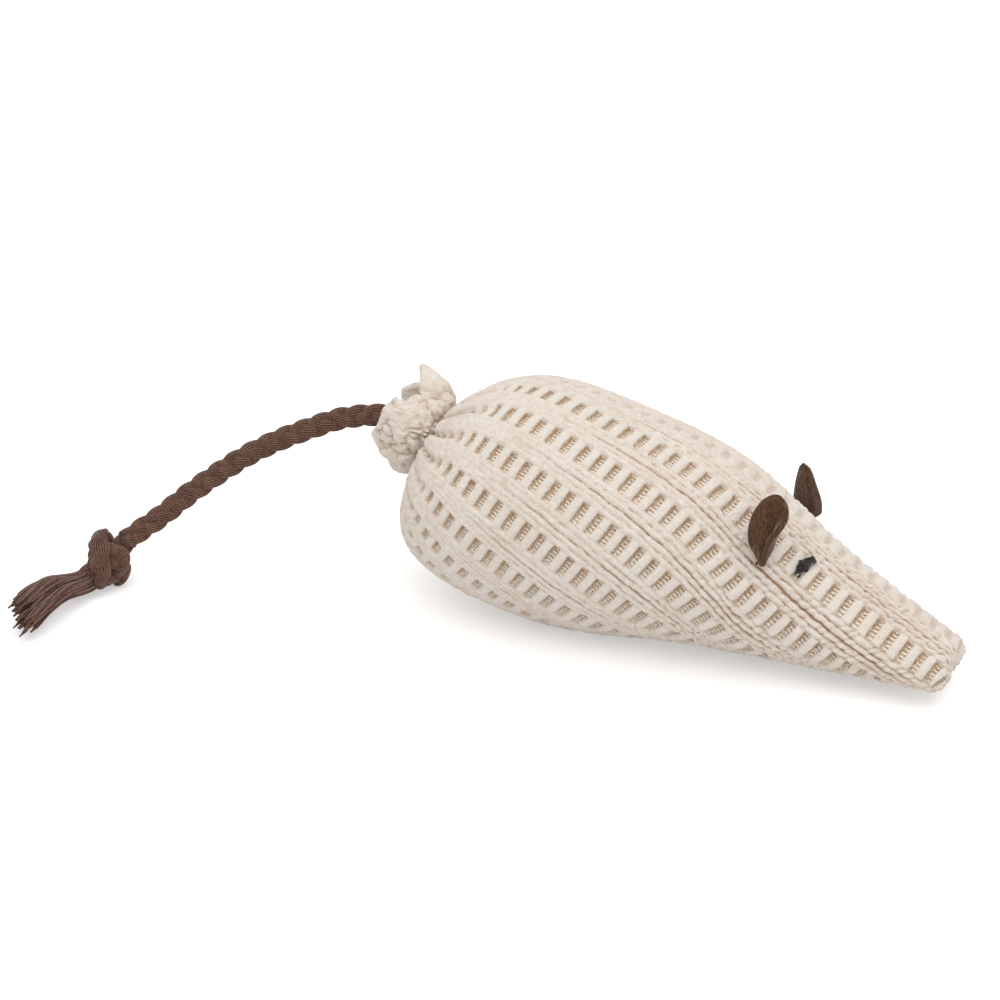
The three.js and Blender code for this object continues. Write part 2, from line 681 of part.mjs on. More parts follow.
function tassel() {
  const start = KNOT_REACH * knotPitch + CLEARANCE;
  const leave = [start, start + cordRadius];
  const straight = leave.map((reach) => knotMiddle.clone().addScaledVector(knotAxis, reach));
  const curve = new THREE.CatmullRomCurve3([...straight, ...TASSEL_ROUTE.slice(1).map(behindBody)]);
  const sides = SIDES_PER_STRAND * TASSEL_STRANDS;
  const rings = TASSEL_SHARES.map((share) => {
    const along = curve.getTangentAt(share);
    const across = new THREE.Vector3(0, 0, 1).cross(along).normalize();
    const up = along.clone().cross(across);
    const spread = smoothstep(share, 0, TASSEL_SPREAD);
    const wide = lerp(cordRadius - CLEARANCE, TASSEL_WIDTH / 2, spread);
    const tall = lerp(cordRadius - CLEARANCE, TASSEL_HEIGHT / 2, spread);
    return ringOf(sides, (angle) => {
      const groove = 1 + TASSEL_GROOVE * spread * Math.cos(TASSEL_STRANDS * angle);
      const fray = share === 1 ? TASSEL_FRAY * Math.sin((sides - TASSEL_STRANDS / 2 + 3) * angle) : 0;
      const point = curve.getPointAt(share).addScaledVector(along, fray);
      point.addScaledVector(across, groove * wide * Math.cos(angle));
      point.addScaledVector(up, groove * tall * Math.sin(angle));
      point.z = Math.max(point.z, FLOOR_GAP);
      return point;
    });
  });
  return loft(rings);
}

addPiece("tail_tassel", tassel(), brownCotton());

// Ears: a felt leaf, pinched at its base and folded over a sewn thread

function earFrame({ side, ear: place }) {
  const angle = onSide(side, place.angle);
  const normal = bodyNormal(place.station, angle);
  const inward = degrees(place.heading);
  const heading = new THREE.Vector3(Math.cos(inward), -side * Math.sin(inward), 0);
  const hinge = heading.addScaledVector(normal, -heading.dot(normal)).normalize();
  const uphill = hinge.clone().cross(normal).multiplyScalar(side);
  const rise = normal.clone().multiplyScalar(Math.cos(degrees(place.lean)));
  rise.addScaledVector(uphill, Math.sin(degrees(place.lean)));
  const face = rise.clone().cross(hinge).multiplyScalar(side);
  const base = bodyPoint(place.station, angle).addScaledVector(normal, EAR_ROLL + CLEARANCE);
  return { normal, hinge, rise, face, base };
}

const LEAF_STEPS = 8; // along the leaf
const LEAF_FACETS = 7; // across it
const CUP_ROUND = 0.5; // how evenly the hollow follows the width, as a power
const CUP_FADE = 0.6; // share of the hollow lost at the tip
const ROLL_SIDES = 12;
const BORE_SIDES = 8;
const STITCH_STEPS = 18;
const STITCH_SINK = 0.15; // the stitch's ends over the cloth that they go into
const STITCH_SHOULDER = 0.8; // share of the stitch that lies straight
const STITCH_FOOT = 1.12; // share of its length to which its feet spread

function leafWidth(share) {
  const swell = Math.sin(Math.PI * lerp(EAR_PINCH, 1, share));
  return (EAR_WIDTH / 2) * Math.max(swell, EAR_POINT);
}

function ear({ hinge, rise, face, base }) {
  const slant = degrees(EAR_SLANT);
  const along = rise.clone().multiplyScalar(Math.cos(slant)).addScaledVector(hinge, Math.sin(slant));
  const across = hinge.clone().multiplyScalar(Math.cos(slant)).addScaledVector(rise, -Math.sin(slant));
  const rings = evenly(0, 1, LEAF_STEPS).map((share) => {
    const half = leafWidth(share);
    const cup = EAR_CUP * Math.pow(half / (EAR_WIDTH / 2), CUP_ROUND) * (1 - CUP_FADE * share);
    const pointAt = (u, depth) =>
      base
        .clone()
        .addScaledVector(along, share * EAR_LENGTH)
        .addScaledVector(across, u * half)
        .addScaledVector(face, cup * u * u + depth);
    const front = evenly(-1, 1, LEAF_FACETS).map((u) => pointAt(u, FELT / 2));
    const back = evenly(1, -1, LEAF_FACETS).map((u) => pointAt(u, -FELT / 2));
    return [...front, ...back];
  });
  const ends = [-EAR_BASE / 2, EAR_BASE / 2].map((reach) => base.clone().addScaledVector(hinge, reach));
  const eyelet = [-EAR_BASE, EAR_BASE].map((reach) => base.clone().addScaledVector(hinge, reach));
  const roll = solid(tube(new THREE.LineCurve3(...ends), EAR_ROLL, ROLL_SIDES, 1));
  const bore = solid(tube(new THREE.LineCurve3(...eyelet), SEWING_THREAD / 2 + CLEARANCE, BORE_SIDES, 1));
  return surfaceOf(solid(loft(rings)).add(roll).subtract(bore));
}

// The thread lies along the folded base and goes down into the cloth at both ends.
function earStitch({ normal, hinge, base }) {
  const reach = EAR_BASE / 2 + 2 * CLEARANCE + SEWING_THREAD / 2;
  const drop = EAR_ROLL - STITCH_SINK;
  const corner = (share, depth) => {
    const point = base.clone().addScaledVector(hinge, share * reach);
    return point.addScaledVector(normal, -depth);
  };
  const half = [[STITCH_SHOULDER, 0], [1, SEWING_THREAD / 2], [STITCH_FOOT, drop]];
  const other = half.map(([share, depth]) => [-share, depth]).reverse();
  const line = new THREE.CatmullRomCurve3([...other, ...half].map((place) => corner(...place)));
  return tube(line, SEWING_THREAD / 2, THREAD_SIDES, STITCH_STEPS);
}

// Eyes: two stitches of black thread, laid on the cloth

const LUMP_FACETS = [10, 7];
const LUMP_HEIGHT = 1 / 3; // half the height of a stitch, as a share of its width

function eye({ side, eyeAngle }) {
  const angle = onSide(side, eyeAngle);
  const normal = bodyNormal(EYE_STATION, angle);
  const forward = new THREE.Vector3(1, 0, 0);
  const along = forward.addScaledVector(normal, -forward.dot(normal)).normalize();
  const stitch = (length, width, shift, turn) => {
    const lump = new THREE.SphereGeometry(1, ...LUMP_FACETS);
    const tilt = along.clone().applyAxisAngle(normal, turn);
    const basis = new THREE.Matrix4().makeBasis(tilt, normal.clone().cross(tilt), normal);
    lump.scale(length / 2, width / 2, width * LUMP_HEIGHT);
    lump.applyMatrix4(basis);
    const centre = bodyPoint(EYE_STATION, angle).addScaledVector(normal, CLEARANCE + width * LUMP_HEIGHT);
    centre.addScaledVector(tilt, shift);
    lump.translate(centre.x, centre.y, centre.z);
    return solid(lump);
  };
  const knob = stitch(EYE_LENGTH, EYE_WIDTH, 0, side * degrees(EYE_TURN));
  const shift = (EYE_WIDTH + EYE_TAIL) / 2 - EYE_OVERLAP;
  return surfaceOf(knob.add(stitch(EYE_TAIL, EYE_TAIL_WIDTH, shift, -side * degrees(EYE_TAIL_TURN))));
}

for (const half of SIDES) {
  const frame = earFrame(half);
  addPiece(`${half.name}_ear`, ear(frame), brownFelt());
  addPiece(`${half.name}_ear_stitch`, earStitch(frame), brownThread());
  addPiece(`${half.name}_eye`, eye(half), blackThread());
}

export default mouse;
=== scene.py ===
import json
from math import cos, pi, radians, sin

import bmesh
import bpy
import numpy as np
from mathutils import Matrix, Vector, noise


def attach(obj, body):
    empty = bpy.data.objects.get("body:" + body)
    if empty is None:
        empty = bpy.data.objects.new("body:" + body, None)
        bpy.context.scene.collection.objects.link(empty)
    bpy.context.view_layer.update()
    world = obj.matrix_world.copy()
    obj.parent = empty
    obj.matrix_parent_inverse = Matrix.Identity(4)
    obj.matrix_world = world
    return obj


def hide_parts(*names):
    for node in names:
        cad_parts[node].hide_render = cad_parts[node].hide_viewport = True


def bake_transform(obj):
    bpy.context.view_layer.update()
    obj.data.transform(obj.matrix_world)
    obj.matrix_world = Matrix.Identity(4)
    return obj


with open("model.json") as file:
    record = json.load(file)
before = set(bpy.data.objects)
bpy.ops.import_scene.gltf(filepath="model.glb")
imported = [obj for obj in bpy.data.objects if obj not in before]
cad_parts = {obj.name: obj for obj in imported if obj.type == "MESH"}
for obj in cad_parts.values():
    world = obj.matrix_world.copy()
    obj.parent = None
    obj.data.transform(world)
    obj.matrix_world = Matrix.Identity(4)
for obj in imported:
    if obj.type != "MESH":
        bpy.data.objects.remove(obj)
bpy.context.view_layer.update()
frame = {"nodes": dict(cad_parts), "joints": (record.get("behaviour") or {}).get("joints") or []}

# Camera: a long lens that looks down on the mouse's right side, a little ahead of it.
# Tail, ruffle, back and snout lie from left to right across the frame.

view_azimuth = radians(26)
view_elevation = radians(27)
camera_data = bpy.data.cameras.new("camera")
camera_data.lens = 85
camera_data.sensor_width = 36
camera = bpy.data.objects.new("camera", camera_data)
camera.location = (0.1578, -0.3621, 0.2245)
camera.rotation_euler = (pi / 2 - view_elevation, 0, view_azimuth)
bpy.context.collection.objects.link(camera)
bpy.context.scene.camera = camera
bpy.context.scene.view_settings.view_transform = "Standard"


# Studio: a plain pale floor, a wide soft lamp overhead and an even sky.
# The floor is lifted to white for the camera and still takes the soft shadow.

class Signal:
    """A shader socket, so that a material's sums read as plain arithmetic."""

    def __init__(self, tree, socket=None):
        self.tree = tree
        self.socket = socket

    def make(self, kind, settings=None, inputs=None, out=0):
        """Any other node: its settings, then its sockets. out names or numbers the output it gives."""
        node = self.tree.nodes.new(kind)
        for name, value in (settings or {}).items():
            if name == "stops":
                set_stops(node.color_ramp, value)
            else:
                setattr(node, name, value)
        for name, value in (inputs or {}).items():
            self.feed(node.inputs[name], value)
        return Signal(self.tree, node.outputs[out])

    def feed(self, socket, value):
        if isinstance(value, Signal):
            self.tree.links.new(value.socket, socket)
        else:
            socket.default_value = value

    def maths(self, operation, first, second=0.0):
        return self.make("ShaderNodeMath", {"operation": operation}, {0: first, 1: second})

    def __add__(self, other):
        return self.maths("ADD", self, other)

    def __radd__(self, other):
        return self.maths("ADD", other, self)

    def __sub__(self, other):
        return self.maths("SUBTRACT", self, other)

    def __rsub__(self, other):
        return self.maths("SUBTRACT", other, self)

    def __mul__(self, other):
        return self.maths("MULTIPLY", self, other)

    def __rmul__(self, other):
        return self.maths("MULTIPLY", other, self)

    def __truediv__(self, other):
        return self.maths("DIVIDE", self, other)

    def __rtruediv__(self, other):
        return self.maths("DIVIDE", other, self)

    def __abs__(self):
        return self.maths("ABSOLUTE", self)

    def wrap(self):
        """The distance from the nearest whole number, from -0.5 to 0.5."""
        return self - self.maths("FLOOR", self + 0.5)

    def step(self, low, high):
        """0 below low and 1 above high, eased between them."""
        span = {"From Min": low, "From Max": high, "Value": self}
        return self.make("ShaderNodeMapRange", {"interpolation_type": "SMOOTHSTEP"}, span)

    def mix(self, first, second):
        """The first colour where this is 0 and the second where it is 1."""
        factor, colour_a, colour_b, mixed_colour = 0, 6, 7, 2
        sockets = {factor: self, colour_a: first, colour_b: second}
        return self.make("ShaderNodeMix", {"data_type": "RGBA"}, sockets, out=mixed_colour)


def set_stops(ramp, stops):
    """Gives a colour ramp its stops, each a place from 0 to 1 and a colour."""
    while len(ramp.elements) < len(stops):
        ramp.elements.new(1)
    for element, (place, shade) in zip(ramp.elements, stops):
        element.position = place
        element.color = shade


def colour(red, green, blue):
    """A colour as it looks on a screen, from 0 to 255, for a shader's socket."""
    shares = (value / 255 for value in (red, green, blue))
    return (*(s / 12.92 if s <= 0.04045 else ((s + 0.055) / 1.055) ** 2.4 for s in shares), 1)


def new_material(name, settings):
    """A material with its plain settings. Gives it, its shader's sockets and a signal to start from."""
    material = bpy.data.materials.new(name)
    material.use_nodes = True
    sockets = material.node_tree.nodes["Principled BSDF"].inputs
    for socket, value in settings.items():
        sockets[socket].default_value = value
    return material, sockets, Signal(material.node_tree)


sky_light = (0.69, 0.69, 0.69, 1)
sky_seen = (1, 1, 1, 1)
world = bpy.data.worlds.new("studio")
world.use_nodes = True
bpy.context.scene.world = world
sky_start = Signal(world.node_tree)
sky_sockets = world.node_tree.nodes["Background"].inputs
camera_ray = sky_start.make("ShaderNodeLightPath", out="Is Camera Ray")
sky_start.feed(sky_sockets["Color"], camera_ray.mix(sky_light, sky_seen))

floor_half = 3
floor_mesh = bpy.data.meshes.new("floor")
bm = bmesh.new()
bmesh.ops.create_grid(bm, x_segments=1, y_segments=1, size=floor_half)
bm.to_mesh(floor_mesh)
bm.free()
floor = bpy.data.objects.new("floor", floor_mesh)
bpy.context.collection.objects.link(floor)

no_glow = (0, 0, 0, 1)
floor_glow = (0.4, 0.4, 0.4, 1)
pale_floor, floor_sockets, floor_start = new_material("pale_floor", {
    "Base Color": (0.9, 0.9, 0.9, 1),
    "Roughness": 1,
    "Specular IOR Level": 0,
    "Emission Strength": 1,
})
camera_ray = floor_start.make("ShaderNodeLightPath", out="Is Camera Ray")
floor_start.feed(floor_sockets["Emission Color"], camera_ray.mix(no_glow, floor_glow))
floor_mesh.materials.append(pale_floor)

lamp_data = bpy.data.lights.new("overhead", "AREA")
lamp_data.size = 0.7
lamp_data.energy = 1.9
lamp = bpy.data.objects.new("overhead", lamp_data)
lamp.location = (0.1, -0.12, 0.62)
lamp.rotation_euler = (radians(10), radians(8), 0)
bpy.context.collection.objects.link(lamp)


# Tail: a plait of brown cotton, three fat strands of fine yarn that cross over each other in turn.
# It starts in the gathered neck, stands out stiffly behind the ruffle and arches down to the floor.

MM = 0.001
neck_middle = np.array([-31.97, 0, 29.6])
neck_tilt = radians(22)
neck_axis = np.array([-cos(neck_tilt), 0, sin(neck_tilt)])
cord_spacing = 0.25
tail_route = [
    *(neck_middle + reach * neck_axis for reach in (-9, -4.5, 0, 2.15)),
    (-41.2, 0, 32.1),
    (-45.6, -0.2, 31.8),
    (-51.9, -2.8, 30.8),
    (-56.9, -5.8, 29),
    (-62, -8.8, 26.8),
    (-67, -12.2, 24.1),
    (-71.4, -16.3, 21),
    (-75.7, -20.6, 17.5),
    (-79.9, -25, 13.5),
    (-84.4, -29.1, 9.8),
    (-87.4, -32.9, 6.5),
]

# The plait: the weave and the strands' section are shares of a strand's radius.
plait_pitch = 11.1
weave_wide = 0.98
weave_deep = 0.68
strand_wide = 1.25
strand_tall = 1.22
strand_yarns = 16
yarn_depth = 0.18
pattern_offset = 100


def smooth_route(points, spacing):
    """Evenly spaced points on a smooth line through the given ones."""
    steps_per_gap = 40
    rows = np.array(points, float)
    rows = np.vstack([2 * rows[0] - rows[1], rows, 2 * rows[-1] - rows[-2]])
    gaps = np.linalg.norm(np.diff(rows, axis=0), axis=1)
    times = np.concatenate([[0], np.cumsum(gaps ** 0.5)])
    dense = []
    for i in range(1, len(rows) - 2):
        t = np.linspace(times[i], times[i + 1], steps_per_gap, endpoint=False)[:, None]
        share = [(t - times[i + k]) / (times[i + k + 1] - times[i + k]) for k in (-1, 0, 1)]
        near = [rows[i + k] + (rows[i + k + 1] - rows[i + k]) * share[k + 1] for k in (-1, 0, 1)]
        wide = [(t - times[i + k - 1]) / (times[i + k + 1] - times[i + k - 1]) for k in (0, 1)]
        pair = [near[k] + (near[k + 1] - near[k]) * wide[k] for k in (0, 1)]
        dense.append(pair[0] + (pair[1] - pair[0]) * share[1])
    line = np.vstack([*dense, rows[-2:-1]])
    reach = np.concatenate([[0], np.cumsum(np.linalg.norm(np.diff(line, axis=0), axis=1))])
    even = np.linspace(0, reach[-1], round(reach[-1] / spacing) + 1)
    return np.stack([np.interp(even, reach, line[:, k]) for k in range(3)], axis=1)


def unit(rows):
    """The same directions with a length of 1."""
    return rows / np.linalg.norm(rows, axis=-1, keepdims=True)


def carried_across(line, across):
    """Two directions across a line, square to each other and carried along it without twist."""
    along = unit(np.gradient(line, axis=0))
    carried = []
    for direction in along:
        across = unit(across - across.dot(direction) * direction)
        carried.append(across)
    carried = np.array(carried)
    return carried, np.cross(along, carried)


def skin(bm, rings, values):
    """A tube over rings of points, from a grid. Rings that shrink to a point close its ends."""
    layers = [bm.verts.layers.float.get(name) or bm.verts.layers.float.new(name) for name in values]
    rings = np.concatenate([rings, rings[:, :1]], axis=1)
    columns = [np.concatenate([rows, rows[:, :1]], axis=1).ravel() for rows in values.values()]
    ring_count, ring_points = rings.shape[:2]
    made = bmesh.ops.create_grid(bm, x_segments=ring_points - 1, y_segments=ring_count - 1, size=1)
    for number, (vert, place) in enumerate(zip(made["verts"], rings.reshape(-1, 3) * MM)):
        vert.co = place
        for layer, column in zip(layers, columns):
            vert[layer] = column[number]


def closed_ends(rings):
    """The rings with a point added at each end."""
    first = np.repeat(rings[:1].mean(axis=1, keepdims=True), rings.shape[1], axis=1)
    last = np.repeat(rings[-1:].mean(axis=1, keepdims=True), rings.shape[1], axis=1)
    return np.concatenate([first, rings, last])


def piece(name, bm, material):
    """A finished mesh as an object at the origin, with its doubles merged and its faces turned outwards."""
    bmesh.ops.remove_doubles(bm, verts=bm.verts, dist=1e-7)
    bmesh.ops.recalc_face_normals(bm, faces=bm.faces)
    for face in bm.faces:
        face.smooth = True
    mesh = bpy.data.meshes.new(name)
    bm.to_mesh(mesh)
    bm.free()
    mesh.materials.append(material)
    made = bpy.data.objects.new(name, mesh)
    bpy.context.collection.objects.link(made)
    return made


def add_strand(bm, rings, ridge, reach, number):
    """One closed strand, with the ridges of its yarns and its own stretch of length for the material."""
    length = np.repeat(reach[:, None], rings.shape[1], axis=1) + pattern_offset * number
    ridge, length = (np.concatenate([rows[:1], rows, rows[-1:]]) for rows in (ridge, length))
    skin(bm, closed_ends(rings), {"ridge": ridge, "along": length})


def add_plait(bm, line, girth, press=None):
    """Three strands of yarn plaited along a line, with the plait's wide way across the view.

    girth is a strand's radius at each point of the line, and press changes how its skin lies from the line.
    """
    first, second = carried_across(line, np.cross(neck_axis, to_viewer))
    reach = np.arange(len(line)) * cord_spacing
    around = np.linspace(0, 2 * pi, 4 * strand_yarns, endpoint=False)
    for number in range(3):
        turn = 2 * pi * (reach / plait_pitch + number / 3)
        core = line + (girth * weave_wide * np.sin(turn))[:, None] * first
        core = core + (girth * weave_deep * np.sin(2 * turn))[:, None] * second
        run = unit(np.gradient(core, axis=0))
        rise = unit(second - np.sum(second * run, axis=1, keepdims=True) * run)
        side = np.cross(run, rise)
        twist = 0.12 * reach + 0.2 * np.sin(0.8 * reach + 2 * number)
        ridge = np.abs(np.sin(strand_yarns / 2 * (around[None] + twist[:, None])))
        plump = girth[:, None] * (1 - yarn_depth + yarn_depth * ridge ** 0.8)
        wide = strand_wide * plump * np.cos(around)
        tall = strand_tall * plump * np.sin(around)
        rings = core[:, None] + wide[..., None] * side[:, None] + tall[..., None] * rise[:, None]
        if press is not None:
            rings = line[:, None] + press(rings - line[:, None])
        add_strand(bm, rings, ridge, reach, number)


def brown_cotton():
    """Matt brown cotton: fine yarns along each strand, a little uneven in colour, with painted shade in the
    creases between the yarns.
    """
    material, sockets, start = new_material("brown_cotton", {
        "Roughness": 0.9,
        "Specular IOR Level": 0.15,
        "Sheen Weight": 0.25,
        "Sheen Roughness": 0.5,
    })
    ridge = start.make("ShaderNodeAttribute", {"attribute_name": "ridge"}, out="Fac")
    along = start.make("ShaderNodeAttribute", {"attribute_name": "along"}, out="Fac")
    where = start.make("ShaderNodeTexCoord", out="Object")
    fibres = start.make("ShaderNodeTexNoise", inputs={"Vector": where, "Scale": 2200, "Detail": 3})
    lengths = start.make("ShaderNodeTexNoise", {"noise_dimensions": "1D"}, {"W": along * 0.9, "Scale": 1})
    # Painted shade: ridge is low in the grooves between the yarns and plies, so the colour darkens there;
    # the noises are the cotton's own uneven tone.
    tone = ridge * 0.6 + fibres * 0.45 + lengths * 0.3 - 0.2
    stops = [(0.22, colour(38, 24, 17)), (0.5, colour(92, 65, 53)), (0.75, colour(134, 100, 85))]
    start.feed(sockets["Base Color"], start.make("ShaderNodeValToRGB", {"stops": stops}, {"Fac": tone}))
    bump = start.make("ShaderNodeBump", inputs={"Strength": 0.5, "Distance": 0.0002, "Height": fibres})
    start.feed(sockets["Normal"], bump)
    return material


# The seen cord runs from just before the hinge that swings it to just inside the knot.
swing_reach = 16
cord_before_swing = 0.6
knot_reach = 6.4
cord_in_knot = 1.6
whole_tail = smooth_route(tail_route, cord_spacing)
cord_start = round((swing_reach - cord_before_swing) / cord_spacing)
cord_stop = len(whole_tail) - round((knot_reach - cord_in_knot) / cord_spacing)
cord_line = whole_tail[cord_start:cord_stop]
to_viewer = np.array([sin(view_azimuth), -cos(view_azimuth), sin(view_elevation)])
cotton = brown_cotton()
bm = bmesh.new()
add_plait(bm, cord_line, np.ones(len(cord_line)))
tail_cord = piece("tail_cord_braid", bm, cotton)
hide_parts("tail_root", "tail_cord")
joints = {joint["name"]: joint for joint in frame["joints"]}
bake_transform(tail_cord)


# Knot: one overhand knot in the cotton braid, pulled tight by hand near the tail's end.
# The cord passes through its own turn, and lies flat and wide where it bends round itself.

knot_middle = np.array(tail_route[-1])
knot_exit = np.array([-89.4, -38.5, 3.6])
knot_axis = unit(knot_exit - whole_tail[-1 - round(knot_reach / cord_spacing)])
knot_side = unit(np.cross((0, 0, 1), knot_axis))
knot_up = np.cross(knot_axis, knot_side)
knot_sag = np.array([0, 0, -0.85])
knot_pitch = 3.05
knot_slope = (0, -0.36, 0.4)
knot_squeeze = (0.72, 1, 1)
knot_tightness = 0.18
loose_end = 0.12
press_flat = 0.6
press_wide = 0.4

# The run into the knot, in pitches along, beside and above its middle. The run out is its mirror.
run_in = [
    (-2.5, 0, 0),
    (-2.1, 0, 0),
    (-1.5, -0.1, -0.08),
    (-1.1, -0.3, -0.2),
    (0, -0.1, -0.5),
    (0.55, 0.35, -0.6),
    (0.9, 0.6, -0.45),
]
full_turn = []
for turned in np.linspace(0, 1, 9):
    swing = 2 * pi * turned
    full_turn.append((1.05 * (1 - 2 * turned), 1.05 * cos(swing) - 0.3, 1.5 * sin(swing)))
run_out = [(-along, beside, -above) for along, beside, above in reversed(run_in)]
knot_points = np.array([*run_in, *full_turn, *run_out])
knot_lean = knot_points @ knot_slope
knot_points = knot_points * knot_squeeze - knot_lean[:, None] * (1, 0, 0)
knot_basis = np.array([knot_axis, knot_side, knot_up]) * knot_pitch
knot_line = smooth_route(knot_middle + knot_points @ knot_basis, cord_spacing)
knot_share = np.linspace(0, 1, len(knot_line))
pulled = np.clip(np.minimum(knot_share, 1 - knot_share) / loose_end, 0, 1)
knot_line = knot_line + pulled[:, None] * knot_sag
from_axis = knot_line - knot_middle - knot_sag
from_axis = from_axis - (from_axis @ knot_axis)[:, None] * knot_axis
outer = np.clip((np.linalg.norm(from_axis, axis=1) - 1.2) / 1.8, 0, 1)[:, None, None]
knot_out = unit(from_axis + 0.001)[:, None]


def flatten(offsets):
    """Presses the braid flat against the knot's middle, so that it spreads sideways."""
    inward = np.sum(offsets * knot_out, axis=2, keepdims=True) * knot_out
    return offsets * (1 + press_wide * outer) - inward * press_flat * outer


bm = bmesh.new()
add_plait(bm, knot_line, 1 - knot_tightness * pulled, flatten)
tail_knot = piece("tail_knot_braid", bm, cotton)
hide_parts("tail_knot")
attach(tail_knot, "tail")


# Tassel: the cotton braid undone past the knot, so that its yarns hang loose.
# They lie side by side, spread as they come down to the floor and end unevenly.

rng = np.random.default_rng(11)
yarn_count = 54
yarn_spacing = 0.5
yarn_sides = 16
yarn_plies = 4
ply_depth = 0.22
least_rise = 0.6
even_turn = 2.39996
upright = np.array([0, 0, 1.0])
tassel_start = knot_middle + knot_sag + knot_axis * 3.2
tassel_leave = knot_middle + knot_sag / 2 + knot_axis * 6
tassel_middle = np.array([-91.3, -46.4, 5])
tassel_end = np.array([-91.5, -56.6, 4.1])
tassel_run = unit(tassel_end - tassel_start)
tassel_side = unit(np.cross(upright, tassel_run))
yarn_around = np.linspace(0, 2 * pi, yarn_sides, endpoint=False)
bm = bmesh.new()
for number in range(yarn_count):
    spread = ((number + 0.5) / yarn_count) ** 0.5
    beside = spread * cos(number * even_turn)
    above = spread * sin(number * even_turn)
    places = [
        tassel_start + 1.4 * beside * tassel_side + 1.4 * above * knot_up,
        tassel_leave + 2.4 * beside * tassel_side + 1.9 * above * knot_up,
        tassel_middle + 3.5 * beside * tassel_side + 2.2 * above * upright + rng.normal(0, 0.25, 3),
        tassel_end + 4.7 * beside * tassel_side + 2.9 * above * upright + rng.normal(0, 0.4, 3),
    ]
    longer = 3 * beside + rng.uniform(-2.6, 0.6)
    places[-1] = places[-1] + longer * tassel_run
    yarn_line = smooth_route(places, yarn_spacing)
    yarn_line[:, 2] = np.maximum(yarn_line[:, 2], least_rise)
    first, second = carried_across(yarn_line, upright)
    yarn_reach = np.arange(len(yarn_line)) * yarn_spacing
    ply_turn = yarn_plies / 2 * yarn_around[None] + 0.35 * yarn_reach[:, None] + number
    plies = np.abs(np.sin(ply_turn))
    tip = np.clip((yarn_reach[-1] - yarn_reach) / 1.8, 0.4, 1)[:, None]
    yarn_radius = rng.uniform(0.4, 0.58) * (1 - ply_depth + ply_depth * plies) * tip
    rings = yarn_line[:, None] + (yarn_radius * np.cos(yarn_around))[..., None] * first[:, None]
    rings = rings + (yarn_radius * np.sin(yarn_around))[..., None] * second[:, None]
    add_strand(bm, rings, plies, yarn_reach, number)
tail_tassel = piece("tail_tassel_yarns", bm, cotton)
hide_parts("tail_tassel")
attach(tail_tassel, "tail")


# Cover: one chenille cloth stuffed full, sewn shut at the snout and drawn together at the rear.
# Its ribs are ladders of fat rungs over a fine woven ground, with plain rolls of pile between them.

body_length = 101
belly_place = 32
half_width = 23.2
half_height = 21.9
stations = np.array([
    # share of the length, rise, width and height as shares of the girth, tilt in degrees
    (0.02, 1.315, 0.17, 0.18, -22),
    (-0.005, 1.26, 0.39, 0.41, -24),
    (0.01, 1.19, 0.61, 0.635, -24),
    (0.06, 1.12, 0.85, 0.865, -20),
    (0.16, 1.06, 1, 1, -14),
    (0.33, 0.95, 1, 1, -6),
    (0.56, 0.855, 0.815, 0.815, -8),
    (0.78, 0.55, 0.555, 0.49, -10),
    (1, 0.29, 0.36, 0.2, -10),
])
last_station = len(stations) - 1
nose_round = 3
nose_narrows = 0.3


def eased(value, low, high):
    """0 below low and 1 above high, eased between them."""
    share = np.clip((value - low) / (high - low), 0, 1)
    return share * share * (3 - 2 * share)


def hump(distance, spread):
    """1 where there is no distance, falling away smoothly over about the spread."""
    return np.exp(-(distance / spread) ** 2)


def section_at(station):
    """The body's section at a station number: a smooth run through the table."""
    rows = np.vstack([2 * stations[0] - stations[1], stations, 2 * stations[-1] - stations[-2]])
    i = np.clip(np.floor(station).astype(int), 0, last_station - 1)
    t = (station - i)[..., None]
    before, here, after, beyond = rows[i], rows[i + 1], rows[i + 2], rows[i + 3]
    enter = (after - before) / 2
    leave = (beyond - here) / 2
    cubic = 2 * here - 2 * after + enter + leave
    square = 3 * after - 3 * here - 2 * enter - leave
    return ((cubic * t + square) * t + enter) * t + here


def body_skin(station, angle, folds):
    """Points of the stuffed form. Past the last station the snout closes to a line. The belly lies flat."""
    past = np.clip(station - last_station, 0, 1) * pi / 2
    ahead = nose_round * np.sin(past)
    section = section_at(np.minimum(station, last_station))
    tilt = np.radians(section[..., 4])
    swell = 1 + folds * eased(station, 0.1, 0.8) * (1 - eased(station, 1.2, 3.6))
    narrow = 1 - nose_narrows + nose_narrows * np.cos(past)
    side = section[..., 2] * half_width * swell * np.cos(angle) * narrow
    up = section[..., 3] * half_height * swell * np.sin(angle) * np.cos(past)
    x = section[..., 0] * body_length - belly_place - np.sin(tilt) * up + np.cos(tilt) * ahead
    z = section[..., 1] * half_height + np.cos(tilt) * up + np.sin(tilt) * ahead
    return np.stack([x, side, np.maximum(z, 0)], axis=-1)


# The cloth is a grid whose rows lie at even distances along the flank.
cover_rows = 400
cover_columns = 520
fine = np.linspace(0, last_station + 1, 4000)
side_line = body_skin(fine, np.full_like(fine, pi), 0)
side_reach = np.concatenate([[0], np.cumsum(np.linalg.norm(np.diff(side_line, axis=0), axis=1))])
row_station = np.interp(np.linspace(0, side_reach[-1], cover_rows), side_reach, fine)
column_angle = np.linspace(-pi / 2, 3 * pi / 2, cover_columns + 1)
station, angle = np.meshgrid(row_station, column_angle, indexing="ij")

# Near the tie the body swells between the gathers. On the near haunch the cloth hangs slack.
gathers = 10
gather_swell = 0.03
slack_depth = 0.2
slack_angle = 205
slack_station = 1.3
fold_wave = 0.5 * np.cos(gathers * angle) + 0.4 * np.cos(7 * angle + 1.1)
slack = hump(np.degrees(angle) - slack_angle, 42) * hump(station - slack_station, 0.9)
cover_skin = body_skin(station, angle, gather_swell * fold_wave - slack_depth * slack)
plain_skin = body_skin(station, angle, 0)

